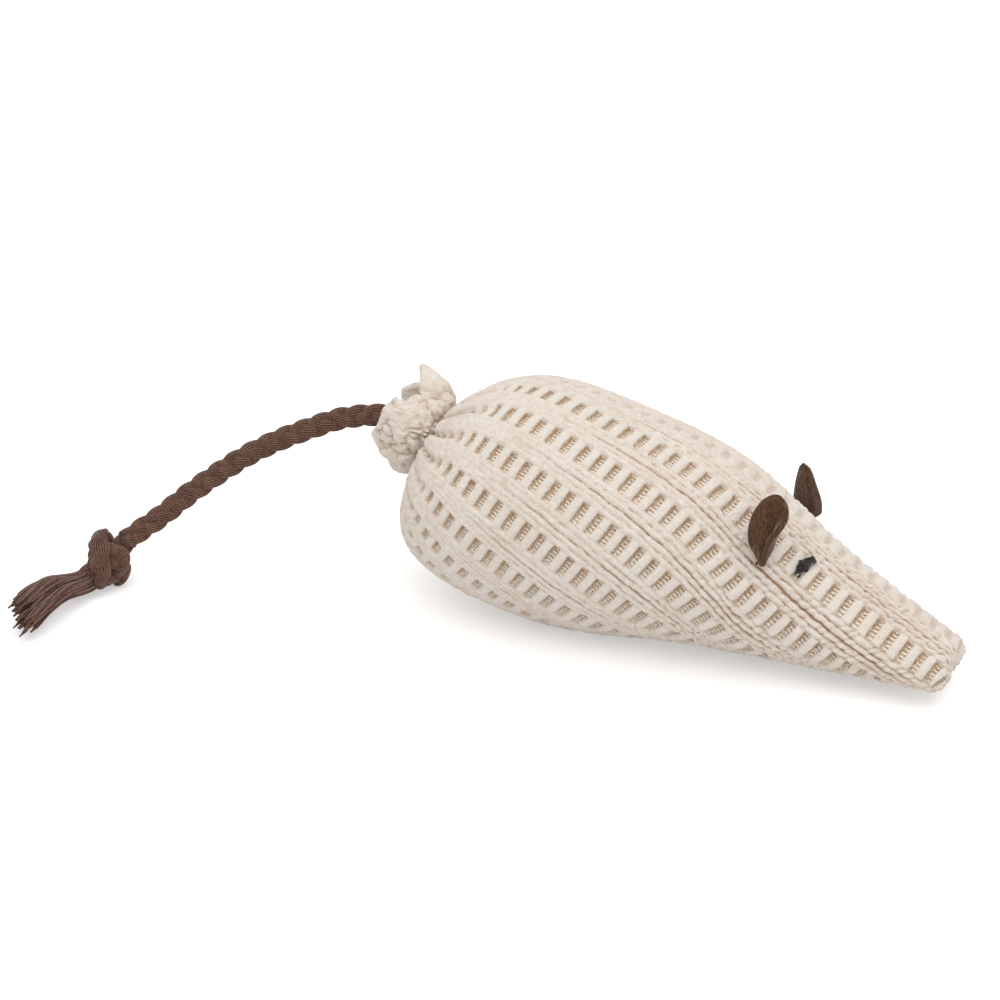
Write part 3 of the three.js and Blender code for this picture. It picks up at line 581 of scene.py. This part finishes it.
# Cloth coordinates in millimetres: along the ribs from the tie, and across them from the ridge of the back.
around_step = np.linalg.norm(np.diff(plain_skin, axis=1), axis=2)
across = np.concatenate([np.zeros((cover_rows, 1)), np.cumsum(around_step, axis=1)], axis=1)
ridge_column = cover_columns // 2
across = across - across[:, ridge_column:ridge_column + 1]
half_girth = (across[:, -1:] - across[:, :1]) / 2
widest = half_girth.max()
gathered = row_station[:, None] < row_station[half_girth[:, 0].argmax()]
across = across * np.where(gathered, widest / np.maximum(half_girth, 1), 1)
along_step = np.linalg.norm(np.diff(plain_skin, axis=0), axis=2)
along = np.concatenate([np.zeros((1, cover_columns + 1)), np.cumsum(along_step, axis=0)], axis=0)

ladder_pitch = 9
ladder_place = 3.7
ladder_half = 2.15
rung_pitch = 3.45
rung_place = 57.8
rolls_between = 4
roll_width = (ladder_pitch - 2 * ladder_half) / rolls_between
parting_line = -8


def across_at(rib):
    """Where each rib lies across the cloth. The ribs part towards the nose, faster down the sides."""
    slope = 0.15 * np.tanh((rib - parting_line) / 6) + 0.00015 * rib * np.abs(rib)
    return rib + slope * np.clip(along - 40, -22, 24 + 1.2 * np.abs(rib))


rib = across.copy()
for _ in range(8):
    rib = rib - (across_at(rib) - across) / (across_at(rib + 0.5) - across_at(rib - 0.5))


def from_nearest(value, pitch):
    """The distance from the nearest whole number of pitches."""
    return value - np.floor(value / pitch + 0.5) * pitch


def rise_together(first, second):
    """The product of the slopes of two values over the cloth."""
    lengthwise = np.gradient(plain_skin, axis=0)
    sideways = np.gradient(plain_skin, axis=1)
    long = np.sum(lengthwise * lengthwise, axis=2)
    skew = np.sum(lengthwise * sideways, axis=2)
    wide = np.sum(sideways * sideways, axis=2)
    first_long, first_wide = np.gradient(first)
    second_long, second_wide = np.gradient(second)
    mixed = first_long * second_wide + first_wide * second_long
    product = wide * first_long * second_long - skew * mixed + long * first_wide * second_wide
    return product / np.maximum(long * wide - skew ** 2, 1e-9)


def lumps(places):
    """Smooth noise at each place, from about -1 to 1."""
    heights = [noise.noise(Vector(place)) for place in places.reshape(-1, 3)]
    return np.array(heights).reshape(places.shape[:-1])


def cloth_lumps(lengthwise, sideways, layer):
    """Smooth noise over the cloth's own coordinates."""
    return lumps(np.stack([lengthwise, sideways, 0 * rib + layer], axis=-1))


# Rungs lie square to their ladder. The ladder on the ridge of the back is nearly closed.
from_ladder = from_nearest(rib - ladder_place, ladder_pitch)
square_to_rib = rise_together(along, rib) / np.maximum(rise_together(rib, rib), 1e-3)
rung_reach = along - from_ladder * square_to_rib
from_rung = rung_pitch / 2 - np.abs(from_nearest(rung_reach - rung_place, rung_pitch))
wander = cloth_lumps(along * 0.3, rib * 0.5, 0)
from_band = from_nearest(rib - ladder_place - ladder_pitch / 2, ladder_pitch) + 0.25 * wander
head_share = eased(along, 50, 88)
ridge_ladder = hump(rib - ladder_place + ladder_pitch, 3.5)
open_share = eased(along, 10, 22) * (1 - (0.78 - 0.1 * head_share) * ridge_ladder)

# Between two ladders lie four rolls of pile, plain on the body and knobbly on the head.
knob_pitch = 2.4
roll = from_band / roll_width
roll_number = np.floor(roll) + rolls_between * np.floor((rib - ladder_place) / ladder_pitch)
uneven = cloth_lumps(along * 0.3, roll_number * 2.7, 7)
knob = along / knob_pitch + 0.45 * roll_number + 0.35 * (roll - np.floor(roll)) + 0.8 * uneven
knobs = (0.11 + 0.34 * head_share) * (np.abs(np.sin(pi * knob)) ** 0.9 - 1)
roll_depth = (0.36 + 0.3 * head_share) * (0.25 + 0.75 * eased(along, 15, 45))
rolls = roll_depth * (np.abs(np.sin(pi * roll)) ** 0.7 - 1) + knobs
rolls = rolls - 0.22 * eased(along, 20, 45) * hump(from_band, 0.25)

# In a ladder the rungs are domed and the windows between them lie lower.
rung_round = 1.15
rung_dome = np.sqrt(np.clip(1 - (from_rung / rung_round) ** 2, 0, 1))
rung_height = -0.05 - 0.6 * (1 - rung_dome)
window_height = -0.3 - 0.55 * open_share
rung_half = 1 + 0.75 * (1 - open_share)
window_half = ladder_half * (0.55 + 0.45 * open_share)
in_ladder = 1 - eased(np.abs(from_ladder), window_half - 0.3, window_half + 0.25)
in_window = eased(from_rung, rung_half - 0.12, rung_half + 0.12)
ladder_height = rung_height * (1 - in_window) + np.minimum(window_height, rung_height) * in_window
height = rolls * (1 - in_ladder) + ladder_height * in_ladder
height = height + 0.14 * cloth_lumps(along * 0.9, rib * 0.9, 3)
height = height + 0.08 * lumps(plain_skin * 2.4)
# deep is how far the cloth lies below its pile; the material paints shade in the hollows by it.
deep = -height / 0.9

# Towards the tie the cloth sinks along each ladder and stands up in a soft fold between two of them.
gather = eased(along, 0.5, 8) * (1 - eased(along, 8, 24)) * (1 + 0.6 * cloth_lumps(0 * rib, rib / 9, 0))
height = height + gather * (0.4 - 1.5 * hump(from_ladder, 1.4))
# Painted shade: the creases along the ladders near the tie count as deeper still, so they are painted
# darker.
deep = deep + 0.8 * gather * hump(from_ladder, 0.5)

# One seam runs under the belly.
seam_depth = 0.7
seam_half = 0.9
seam_turn = np.minimum(np.abs(angle - column_angle[0]), np.abs(angle - column_angle[-1]))
height = height - seam_depth * hump(seam_turn * half_girth / pi, seam_half)


def outward_of(points):
    """Directions out of a grid of points whose rows run lengthwise and whose columns run round it."""
    out = np.cross(np.gradient(points, axis=1), np.gradient(points, axis=0))
    return out / np.maximum(np.linalg.norm(out, axis=2, keepdims=True), 1e-9)


# At the snout the upper and the lower half of the last ring are sewn together.
pile_lift = 0.25
floor_gap = 0.02
cover_points = cover_skin + (height + pile_lift)[..., None] * outward_of(cover_skin)
cover_points[..., 2] = np.maximum(cover_points[..., 2], floor_gap)
opposite = (cover_columns // 2 - np.arange(cover_columns + 1)) % cover_columns
cover_points[-1] = (cover_points[-1] + cover_points[-1, opposite]) / 2
cover_points = np.concatenate([neck_middle + 0 * cover_points[:1], cover_points])
cloth_values = {
    "along": rung_reach,
    "across": rib,
    "band": from_band,
    "open": open_share,
    "deep": np.clip(deep, 0, 1.3),
}
cloth_values = {name: np.concatenate([rows[:1], rows])[:, :-1] for name, rows in cloth_values.items()}
bm = bmesh.new()
skin(bm, cover_points[:, :-1], cloth_values)


def cream_chenille():
    """Soft cream pile on a beige woven ground, which shows between the rungs and in the grooves; painted
    shade darkens the grooves and hollows.
    """
    material, sockets, start = new_material("cream_chenille", {
        "Roughness": 1,
        "Specular IOR Level": 0.1,
        "Sheen Weight": 0.3,
        "Sheen Roughness": 0.6,
    })
    along, across, band, opened, deep = (
        start.make("ShaderNodeAttribute", {"attribute_name": name}, out="Fac") for name in cloth_values)
    where = start.make("ShaderNodeTexCoord", out="Object")
    nap = start.make("ShaderNodeTexNoise", inputs={"Vector": where, "Scale": 2400, "Detail": 4})
    tufts = start.make("ShaderNodeTexNoise", inputs={"Vector": where, "Scale": 800, "Detail": 3})
    patches = start.make("ShaderNodeTexNoise", inputs={"Vector": where, "Scale": 90, "Detail": 2})
    cloth = start.make("ShaderNodeCombineXYZ", inputs={"X": along, "Y": across})
    weave = start.make("ShaderNodeTexNoise", inputs={"Vector": cloth, "Scale": 2.6, "Detail": 2})
    breaks = start.make("ShaderNodeTexNoise", inputs={"Vector": cloth, "Scale": 0.45, "Detail": 2})

    # The windows of the ladders, with tufts of pile over their edges
    ladder = ((across - ladder_place) / ladder_pitch).wrap() * ladder_pitch
    rung = ((along - rung_place) / rung_pitch).wrap() * rung_pitch
    edge = (tufts - 0.5) * 0.8
    half = opened * (0.42 * ladder_half) + 0.5 * ladder_half + edge
    tall = opened * 0.82 + edge * 0.5
    in_ladder = (half - abs(ladder)).step(-0.1, 0.25)
    inside = in_ladder * (tall - abs(rung)).step(-0.05, 0.15)

    # The woven ground in the windows: warp threads, with painted shadow under the rung above and painted
    # shade that darkens each window a little towards one side
    warp_pitch = 0.7
    threads_and_rung_shadow = (abs((across / warp_pitch).wrap()) * 2).step(0.3, 0.75) * rung.step(-0.5, 0.3)
    ground_tone = threads_and_rung_shadow * 0.3 + weave * 0.7 + nap * 0.5 - 0.2 + ladder * 0.04
    ground_stops = [
        (0.3, colour(162, 132, 102)),
        (0.5, colour(206, 184, 157)),
        (0.68, colour(244, 236, 223)),
    ]
    ground = start.make("ShaderNodeValToRGB", {"stops": ground_stops}, {"Fac": ground_tone})

    # The pile: palest on the rungs, darker along the grooves, partly where the ground shows and partly
    # painted shade, and in the hollows, where painted shade deepens with how low the cloth lies
    tone = nap * 0.4 + tufts * 0.4 + patches * 0.2
    pile_stops = [
        (0.3, colour(220, 201, 182)),
        (0.5, colour(237, 224, 211)),
        (0.68, colour(246, 239, 231)),
    ]
    pile = start.make("ShaderNodeValToRGB", {"stops": pile_stops}, {"Fac": tone})
    pile = (in_ladder * opened * 0.5).mix(pile, colour(240, 232, 221))
    line = breaks.step(0.4, 0.56) * along.step(22, 50)
    faint = breaks.step(0.5, 0.62) * along.step(22, 50) * 0.75
    middle_groove = (1 - abs(band).step(0.06, 0.3)) * line
    side_groove = (1 - abs(abs(band) - roll_width).step(0.05, 0.26)) * faint
    # Painted shade: the grooves and the deep hollows turn the pile a warm brown.
    grooves_and_shade = (middle_groove + side_groove) * 0.7 + deep.step(0.3, 1) * 0.5 + deep.step(1, 1.6) * 0.5
    pile = grooves_and_shade.mix(pile, colour(190, 154, 122))
    start.feed(sockets["Base Color"], (inside * opened).mix(pile, ground))
    relief = nap * 0.4 + tufts * 0.6
    bump = start.make("ShaderNodeBump", inputs={"Strength": 0.9, "Distance": 0.0008, "Height": relief})
    start.feed(sockets["Normal"], bump)
    return material


chenille = cream_chenille()
body_cover = piece("body_cover_chenille", bm, chenille)
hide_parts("body_cover")
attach(body_cover, "body")


# Ruffle: the free edge of the same cloth behind the tie, crushed into soft lobes with deep creases.
# The upper lobe folds forward over the tie and a corner of the edge stands up. Pile covers it in fat lumps.

ruffle_rows = 60
ruffle_columns = 420
cloth_half = 1.05
rim_places = (
    # degrees round the neck from the mouse's left, reach behind the tie, distance from the neck's axis
    (0, 12.5, 8),
    (30, 9, 9),
    (48, 8.5, 9.3),
    (60, 10, 10.1),
    (75, 8, 9),
    (95, 5.5, 6.3),
    (110, 7.5, 7.4),
    (130, 8.8, 8),
    (150, 9.8, 7.8),
    (175, 9.3, 7.2),
    (200, 10.2, 7.2),
    (225, 7.5, 7.8),
    (250, 5.5, 8.8),
    (280, 6.5, 8.6),
    (310, 8.5, 8),
    (340, 11, 8),
)
lobe_creases = (
    # degrees round the neck, depth
    (22, 1.2),
    (84, 0.9),
    (120, 1.6),
    (160, 0.6),
    (192, 1.5),
    (232, 0.9),
    (272, 1.3),
    (335, 1.3),
)
tuck_places = (
    # share of the way from the tie to the rim, degrees round the neck
    (0.42, 28),
    (0.55, 52),
    (0.65, 68),
    (0.75, 78),
    (0.88, 90),
    (1, 112),
)
degrees_round, rim_reach, rim_radius = np.array(rim_places).T
tuck_share, tuck_degrees = np.array(tuck_places).T
lobe_angle = np.linspace(0, 2 * pi, ruffle_columns, endpoint=False)
to_rim = np.linspace(0, 1, ruffle_rows)[:, None]


def round_the_rim(values):
    """A value at every column of the ruffle, eased between the places of the table."""
    reach = 7
    dense = np.interp(np.degrees(lobe_angle), degrees_round, values, period=360)
    spread = np.hanning(2 * reach + 1)
    padded = np.concatenate([dense[-reach:], dense, dense[:reach]])
    return np.convolve(padded, spread / spread.sum(), mode="valid")


def apart_from(place):
    """Degrees between each column of the ruffle and a place round it."""
    return np.abs((np.degrees(lobe_angle) - place + 180) % 360 - 180)


# Sections of the cloth: it leaves the tie, swells outwards and ends at the rim.
far = round_the_rim(rim_radius)
back = round_the_rim(rim_reach)
from_tie = 1 - to_rim
weights = (from_tie ** 3, 3 * to_rim * from_tie ** 2, 3 * to_rim ** 2 * from_tie, to_rim ** 3)
radius = 3.2 * weights[0] + 3.4 * weights[1] + 1.15 * far * weights[2] + far * weights[3]
behind = 0.2 * weights[0] + 1.6 * weights[1] + (0.6 + 0.1 * back) * weights[2] + back * weights[3]
for place, depth in lobe_creases:
    radius = radius - depth * np.exp(-apart_from(place) / 7) * eased(to_rim, 0.12, 0.45)

# The tuck under the upper lobe slants round the neck, and the lobe stands out beside it.
tuck = np.interp(to_rim, tuck_share, tuck_degrees)
from_tuck = apart_from(tuck + 4)
past_tuck = eased(to_rim, 0.34, 0.5)
radius = radius - 2.6 * past_tuck * hump(from_tuck, 9)
radius = radius + 1.3 * hump(to_rim - 0.5, 0.16) * hump(apart_from(36), 24)
radius = radius - 0.4 * hump(to_rim - 0.8, 0.12) * hump(apart_from(56), 15)
neck_across = np.array([0, 1.0, 0])
neck_up = np.cross(neck_across, neck_axis)
spoke = np.cos(lobe_angle)[:, None] * neck_across + np.sin(lobe_angle)[:, None] * neck_up
middle_sheet = neck_middle + behind[..., None] * neck_axis + radius[..., None] * spoke[None]
wrapped = np.concatenate([middle_sheet[:, -1:], middle_sheet, middle_sheet[:, :1]], axis=1)
sheet_out = outward_of(wrapped)[:, 1:-1]
sheet_out = sheet_out * np.sign(np.sum(sheet_out * (spoke - 0.3 * neck_axis), axis=2, keepdims=True))

# Lumps of pile with creases between them, flatter on the upper lobe and underneath.
lump_width = 2.5
lumps_round = 5.6
sheet_step = np.linalg.norm(np.diff(middle_sheet, axis=0, prepend=middle_sheet[:1]), axis=2)
sheet_reach = np.cumsum(sheet_step, axis=0)
lump_places = np.stack([
    lumps_round * np.cos(lobe_angle) + 0 * sheet_reach,
    lumps_round * np.sin(lobe_angle) + 0 * sheet_reach,
    sheet_reach / lump_width,
], axis=-1)
lump_places = lump_places + 0.5 * lumps(middle_sheet * 0.5)[..., None]
nearest = np.array([noise.voronoi(Vector(place))[0][:2] for place in lump_places.reshape(-1, 3)])
between = (nearest[:, 1] - nearest[:, 0]).reshape(sheet_reach.shape)
hood = past_tuck * (1 - eased(np.degrees(lobe_angle) - tuck, -8, 6))
smooth_share = np.clip(hood + 0.4 * eased(-spoke[:, 2], 0.3, 0.9), 0, 1)
rough_share = 1 - 0.8 * smooth_share
patchy = eased(lumps(middle_sheet * 0.4), -0.3, 0.25)
crease = (1 - eased(between, 0, 0.5)) * (0.35 + 0.65 * patchy)
bulge = (0.4 - crease) * eased(to_rim, 0.08, 0.3) * rough_share
bulge = bulge + 0.2 * lumps(middle_sheet * 0.9) + 0.4 * lumps(middle_sheet * 0.37)

# The cloth's two faces, with a rounded lip at the rim
lip_round = 0.7
wall = cloth_half * (0.7 + 0.3 * eased(to_rim, 0.1, 0.4)) * (1 - 0.2 * eased(to_rim, 0.9, 1))
outer_sheet = middle_sheet + (wall + 0.95 * bulge)[..., None] * sheet_out
inner_sheet = middle_sheet - (wall + 0.3 * bulge)[..., None] * sheet_out
rim_run = unit(middle_sheet[-1] - middle_sheet[-4])
lip = []
for turned in (0.25, 0.5, 0.75):
    lean = outer_sheet[-1] * cos(turned * pi / 2) ** 2 + inner_sheet[-1] * sin(turned * pi / 2) ** 2
    lip.append(lean + rim_run * lip_round * sin(turned * pi))
ruffle_rings = np.concatenate([outer_sheet, np.array(lip), inner_sheet[::-1], outer_sheet[:1]])
# Painted shade for the material: in the creases between the lumps and in the tuck under the upper lobe.
crease_shade = 1.45 * patchy * (1 - eased(between, 0, 0.2)) * rough_share
crease_shade = np.maximum(crease_shade, 1.6 * past_tuck * hump(from_tuck, 6))
crease_shade = np.concatenate([crease_shade, np.repeat(crease_shade[-1:], len(lip), axis=0), crease_shade[::-1], crease_shade[:1]])
plain = np.zeros_like(crease_shade)
off_the_grooves = plain + 9
bm = bmesh.new()
skin(bm, ruffle_rings, {
    "along": plain,
    "across": plain,
    "band": off_the_grooves,
    "open": plain,
    "deep": crease_shade,
})
ruffle = piece("rear_ruffle_chenille", bm, chenille)
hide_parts("rear_ruffle")
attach(ruffle, "body")


# Tie: strong cream cotton thread of two twisted plies.
# It is wound twice round the gathered neck, under the ruffle, and draws the cover together.

tie_thickness = 0.6
tie_radius = 4.6
tie_pitch = 1.05
tie_turns = 2


def add_thread(bm, line, thickness, lay=1.6):
    """Two plies twisted round each other along a line. lay is the length of one twist."""
    ply_offset = 0.24 * thickness
    ply_radius = 0.27 * thickness
    spacing = np.linalg.norm(np.diff(line, axis=0), axis=1).mean()
    first, second = carried_across(line, np.array([0.31, 0.52, 0.79]))
    reach = np.arange(len(line)) * spacing
    around = np.linspace(0, 2 * pi, 8, endpoint=False)[None, :, None]
    spokes = np.cos(around) * first[:, None] + np.sin(around) * second[:, None]
    for start in (0, pi):
        turn = (2 * pi * reach / lay + start)[:, None]
        core = line + ply_offset * (np.cos(turn) * first + np.sin(turn) * second)
        skin(bm, closed_ends(core[:, None] + ply_radius * spokes), {})


def twisted_thread(name, dark, light):
    """Smooth twisted thread, lighter where a fibre catches the light."""
    material, sockets, start = new_material(name, {"Roughness": 0.7, "Sheen Weight": 0.2})
    where = start.make("ShaderNodeTexCoord", out="Object")
    fibres = start.make("ShaderNodeTexNoise", inputs={"Vector": where, "Scale": 3500, "Detail": 3})
    start.feed(sockets["Base Color"], fibres.step(0.35, 0.7).mix(dark, light))
    bump = start.make("ShaderNodeBump", inputs={"Strength": 0.4, "Distance": 0.0001, "Height": fibres})
    start.feed(sockets["Normal"], bump)
    return material


winding = np.linspace(0, tie_turns, 240)[:, None]
tie_line = neck_middle + tie_pitch * (winding - tie_turns / 2) * neck_axis
tie_line = tie_line + tie_radius * np.cos(2 * pi * winding) * neck_across
tie_line = tie_line + tie_radius * np.sin(2 * pi * winding) * neck_up
bm = bmesh.new()
add_thread(bm, tie_line, tie_thickness)
cream_thread = twisted_thread("cream_thread", colour(186, 168, 146), colour(224, 211, 192))
gather_tie = piece("gather_tie_thread", bm, cream_thread)
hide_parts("gather_tie")
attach(gather_tie, "body")


# Ears: two leaves cut from brown wool felt, with the edge towards the nose folded over.
# The near one is pinched together at its base, and the far one is left broad there.
# Each is held by one loop of brown sewing thread through the fold at its base.

felt_half = 0.5
ear_length = 12.3
nose_side = 3
back_side = 4.3
roll_length = 1.4
roll_radius = 0.8
stitch_thickness = 0.6
stitch_spacing = 0.12
stitch_loop = [(-0.6, -2), (-0.55, -0.8), (-0.4, 0), (0.4, 0), (0.55, -0.8), (0.6, -2)]


def brown_felt():
    """Dark brown wool felt: short matted fibres, lighter where they stand up."""
    material, sockets, start = new_material("brown_felt", {
        "Roughness": 1,
        "Specular IOR Level": 0.1,
        "Sheen Weight": 0.35,
        "Sheen Roughness": 0.5,
    })
    where = start.make("ShaderNodeTexCoord", out="Object")
    waves = {"Vector": where, "Scale": 500, "Detail": 2}
    bend = start.make("ShaderNodeTexNoise", inputs=waves, out="Color")
    bent_by = {0: bend, 1: (0.0012, 0.0012, 0.0012), 2: where}
    bent = start.make("ShaderNodeVectorMath", {"operation": "MULTIPLY_ADD"}, bent_by)
    stretch = {"Vector": bent, "Scale": (1, 1, 0.16), "Rotation": (0.2, 0.3, 0)}
    stretched = start.make("ShaderNodeMapping", inputs=stretch)
    fibres = start.make("ShaderNodeTexNoise", inputs={"Vector": stretched, "Scale": 3200, "Detail": 3})
    patches = start.make("ShaderNodeTexNoise", inputs={"Vector": where, "Scale": 350, "Detail": 2})
    tone = fibres * 0.7 + patches * 0.3
    stops = [(0.32, colour(64, 42, 25)), (0.5, colour(86, 59, 39)), (0.66, colour(118, 87, 60))]
    start.feed(sockets["Base Color"], start.make("ShaderNodeValToRGB", {"stops": stops}, {"Fac": tone}))
    bump = start.make("ShaderNodeBump", inputs={"Strength": 0.6, "Distance": 0.0003, "Height": fibres})
    start.feed(sockets["Normal"], bump)
    return material


def flank_place(side, station, degrees_up):
    """A place on the body's left, side 1, or right, side -1, and the direction out of its skin there."""
    angle = radians(degrees_up) if side > 0 else pi - radians(degrees_up)
    reach = np.array([-0.02, 0.02])
    behind, ahead = body_skin(station + reach, np.full(2, angle), 0)
    before, after = body_skin(np.full(2, station), angle + reach, 0)
    place = body_skin(np.array([station]), np.array([angle]), 0)[0]
    return place, unit(np.cross(after - before, ahead - behind))


def add_leaf(bm, base, hinge, rise, face, slant, low, point, pinch, fold):
    """A felt leaf that stands on its hinge. Its edges curl towards its face, most at a pinched base.

    slant is its lean towards the nose in degrees. low is under 1 where it is widest near its base, and
    point is 1 for a sharp tip and less for a rounder one. pinch is 1 for a base drawn together, and fold
    is how many degrees the nose side still bends at the tip.
    """
    along = rise * cos(radians(slant)) + hinge * sin(radians(slant))
    across = hinge * cos(radians(slant)) - rise * sin(radians(slant))
    shares = 0.5 - 0.5 * np.cos(np.linspace(0, pi, 64))
    sideways = np.linspace(-1, 1, 41)
    centre = len(sideways) // 2
    rows = []
    for share in shares:
        begun = share + 0.13 * (1 - pinch) * (1 - share)
        swell = max(sin(pi * (0.03 + 0.97 * begun ** low)), 0.01) ** point
        swell = swell * (1 - pinch * (1 - eased(share, -0.2, 0.3)))
        half = np.where(sideways > 0, nose_side, back_side - 0.5 * pinch) * swell
        nose_curl = radians(fold + pinch * (140 - fold) * (1 - eased(share, 0.2, 0.9)))
        back_curl = radians(15 + pinch * 35 * (1 - eased(share, 0, 0.6)))
        nose_bend = nose_curl * eased(sideways, 0.15, 0.5)
        back_bend = -back_curl * eased(-sideways, 0.3, 1)
        curl = np.where(sideways > 0, nose_bend, back_bend)
        step_across = np.gradient(sideways) * half
        flat = np.cumsum(step_across * np.cos(curl))
        raised = np.cumsum(step_across * np.sin(curl))
        flat = flat - flat[centre]
        raised = raised - raised[centre]
        bow = 0.8 * sin(pi * share) + 0.25 * sin(7 * share + 1)
        middle = base + along * (share * ear_length) + face * bow
        rows.append(middle + flat[:, None] * across + raised[:, None] * face)
    rows = np.array(rows)
    out = outward_of(rows.transpose(1, 0, 2)).transpose(1, 0, 2)
    out = out * np.sign(np.sum(out[:, centre] * face, axis=1).mean())
    taper = 1 - 0.6 * eased(shares, 0.88, 1)[:, None]
    thin = felt_half * (taper * (1 + 0.12 * lumps(rows * 0.9)))[..., None]
    rim = 0.6 * felt_half * taper[..., None]
    nose_edge = rows[:, -1:] + unit(rows[:, -1:] - rows[:, -2:-1]) * rim
    back_edge = rows[:, :1] + unit(rows[:, :1] - rows[:, 1:2]) * rim
    rings = np.concatenate([
        rows + thin * out,
        nose_edge + out[:, -1:] * rim,
        nose_edge - out[:, -1:] * rim,
        (rows - thin * out)[:, ::-1],
        back_edge - out[:, :1] * rim,
        back_edge + out[:, :1] * rim,
    ], axis=1)
    skin(bm, closed_ends(rings), {})


def add_roll(bm, base, hinge, face):
    """The fold of felt round the thread: a short roll with rounded ends."""
    shares = np.linspace(-1, 1, 17)
    line = base + shares[:, None] * roll_length / 2 * hinge
    around = np.linspace(0, 2 * pi, 24, endpoint=False)[:, None]
    size = roll_radius * np.sqrt(np.clip(1 - np.abs(shares) ** 3, 0.02, 1))
    spokes = np.cos(around) * face + np.sin(around) * np.cross(hinge, face)
    skin(bm, closed_ends(line[:, None] + size[:, None, None] * spokes[None]), {})


felt = brown_felt()
brown_thread = twisted_thread("brown_thread", colour(58, 40, 31), colour(92, 68, 54))
ears = (
    # name, side, station, degrees up the flank, lean off the skin, and the leaf's shape
    ("left", 1, 6.51, 20, 86, {"slant": 1, "low": 0.3, "point": 0.6, "pinch": 0.1, "fold": 80}),
    ("right", -1, 6.54, 42, 72, {"slant": 6, "low": 1, "point": 0.48, "pinch": 1, "fold": 35}),
)
for name, side, ear_station, degrees_up, lean, leaf_shape in ears:
    base = np.array(joints[f"{name}_ear_fold"]["pos_m"]) / MM
    hinge = -side * np.array(joints[f"{name}_ear_fold"]["axis"])
    _, normal = flank_place(side, ear_station, degrees_up)
    uphill = side * np.cross(hinge, normal)
    rise = normal * cos(radians(lean)) + uphill * sin(radians(lean))
    face = normal * sin(radians(lean)) - uphill * cos(radians(lean))
    bm = bmesh.new()
    add_leaf(bm, base, hinge, rise, face, **leaf_shape)
    add_roll(bm, base, hinge, face)
    ear = piece(f"{name}_ear_felt", bm, felt)
    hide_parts(f"{name}_ear")
    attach(ear, f"{name}_ear")
    stitch_points = [base + reach * hinge + lift * normal for reach, lift in stitch_loop]
    bm = bmesh.new()
    add_thread(bm, smooth_route(stitch_points, stitch_spacing), stitch_thickness)
    stitch = piece(f"{name}_ear_stitch_thread", bm, brown_thread)
    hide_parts(f"{name}_ear_stitch")
    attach(stitch, "body")


# Eyes: black embroidery thread, sewn through the cover by hand.
# Each is a fat knot of crossing stitches with a slimmer bar beside it and two short ends.

eye_station = 6.8
eye_lift = 0.2
eye_spacing = 0.1
eye_lay = 5
eye_sides = (
    # name, side, degrees up the flank, shift down it, turn towards the floor in degrees
    ("left", 1, 26, 0.8, 50),
    ("right", -1, 59, 0, 0),
)
eye_stitches = (
    # turn in degrees, shift ahead and down, length, lift, thickness
    (-72, (0.15, 0.05), 2.1, 0.7, 1.1),
    (-66, (0.8, 0), 2.2, 0.75, 1.1),
    (25, (0.5, 0.1), 1.6, 0.95, 1.1),
    (-50, (1, -1.5), 2.5, 0.6, 0.9),
    (-48, (1.4, -1.2), 2.5, 0.65, 0.9),
    (-40, (0, 1.9), 0.9, 0.4, 0.35),
    (-75, (0.5, 2.3), 0.8, 0.35, 0.35),
)
stitch_arch = [(-0.5, -0.5), (-0.42, 0.25), (-0.2, 0.85), (0, 1), (0.2, 0.85), (0.42, 0.25), (0.5, -0.5)]
black_thread = twisted_thread("black_thread", colour(13, 13, 12), colour(44, 42, 39))
for name, side, degrees_up, drop, dip in eye_sides:
    place, normal = flank_place(side, eye_station, degrees_up)
    level = unit(np.array([1, 0, 0]) - normal[0] * normal)
    downhill = side * np.cross(normal, level)
    middle = place + normal * eye_lift + downhill * drop
    ahead = level * cos(radians(dip)) + downhill * sin(radians(dip))
    down = downhill * cos(radians(dip)) - level * sin(radians(dip))
    bm = bmesh.new()
    for turn, shift, length, lift, thickness in eye_stitches:
        run = ahead * cos(radians(turn)) + down * sin(radians(turn))
        centre = middle + ahead * shift[0] + down * shift[1]
        arch = [centre + run * length * reach + normal * lift * rise for reach, rise in stitch_arch]
        add_thread(bm, smooth_route(arch, eye_spacing), thickness, eye_lay)
    eye = piece(f"{name}_eye_thread", bm, black_thread)
    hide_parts(f"{name}_eye")
    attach(eye, "body")


# Inside: two wads of loose white fibre with the dried herb between them, pushed in before the neck is tied.
# The tail's end lies in the neck. All of these keep the frame's solids and get materials of their own.

def loose_fill(name, dark, middle, light, scale):
    """A crumbled or fibrous filling in three shades."""
    material, sockets, start = new_material(name, {"Roughness": 1})
    where = start.make("ShaderNodeTexCoord", out="Object")
    grains = start.make("ShaderNodeTexNoise", inputs={"Vector": where, "Scale": scale, "Detail": 4})
    stops = [(0.35, dark), (0.5, middle), (0.65, light)]
    start.feed(sockets["Base Color"], start.make("ShaderNodeValToRGB", {"stops": stops}, {"Fac": grains}))
    bump = start.make("ShaderNodeBump", inputs={"Strength": 0.6, "Distance": 0.001, "Height": grains})
    start.feed(sockets["Normal"], bump)
    return material


fibre_shades = (colour(225, 222, 214), colour(243, 241, 236), colour(252, 251, 248))
herb_shades = (colour(82, 88, 52), colour(126, 134, 88), colour(164, 168, 122))
white_fibre = loose_fill("white_fibre", *fibre_shades, 420)
dried_herb = loose_fill("dried_herb", *herb_shades, 1500)
fillings = {
    "rear_fibre_wad": white_fibre,
    "front_fibre_wad": white_fibre,
    "catnip_charge": dried_herb,
    "tail_anchor": cotton,
}
for name, material in fillings.items():
    mesh = frame["nodes"][name].data
    mesh.materials.clear()
    mesh.materials.append(material)
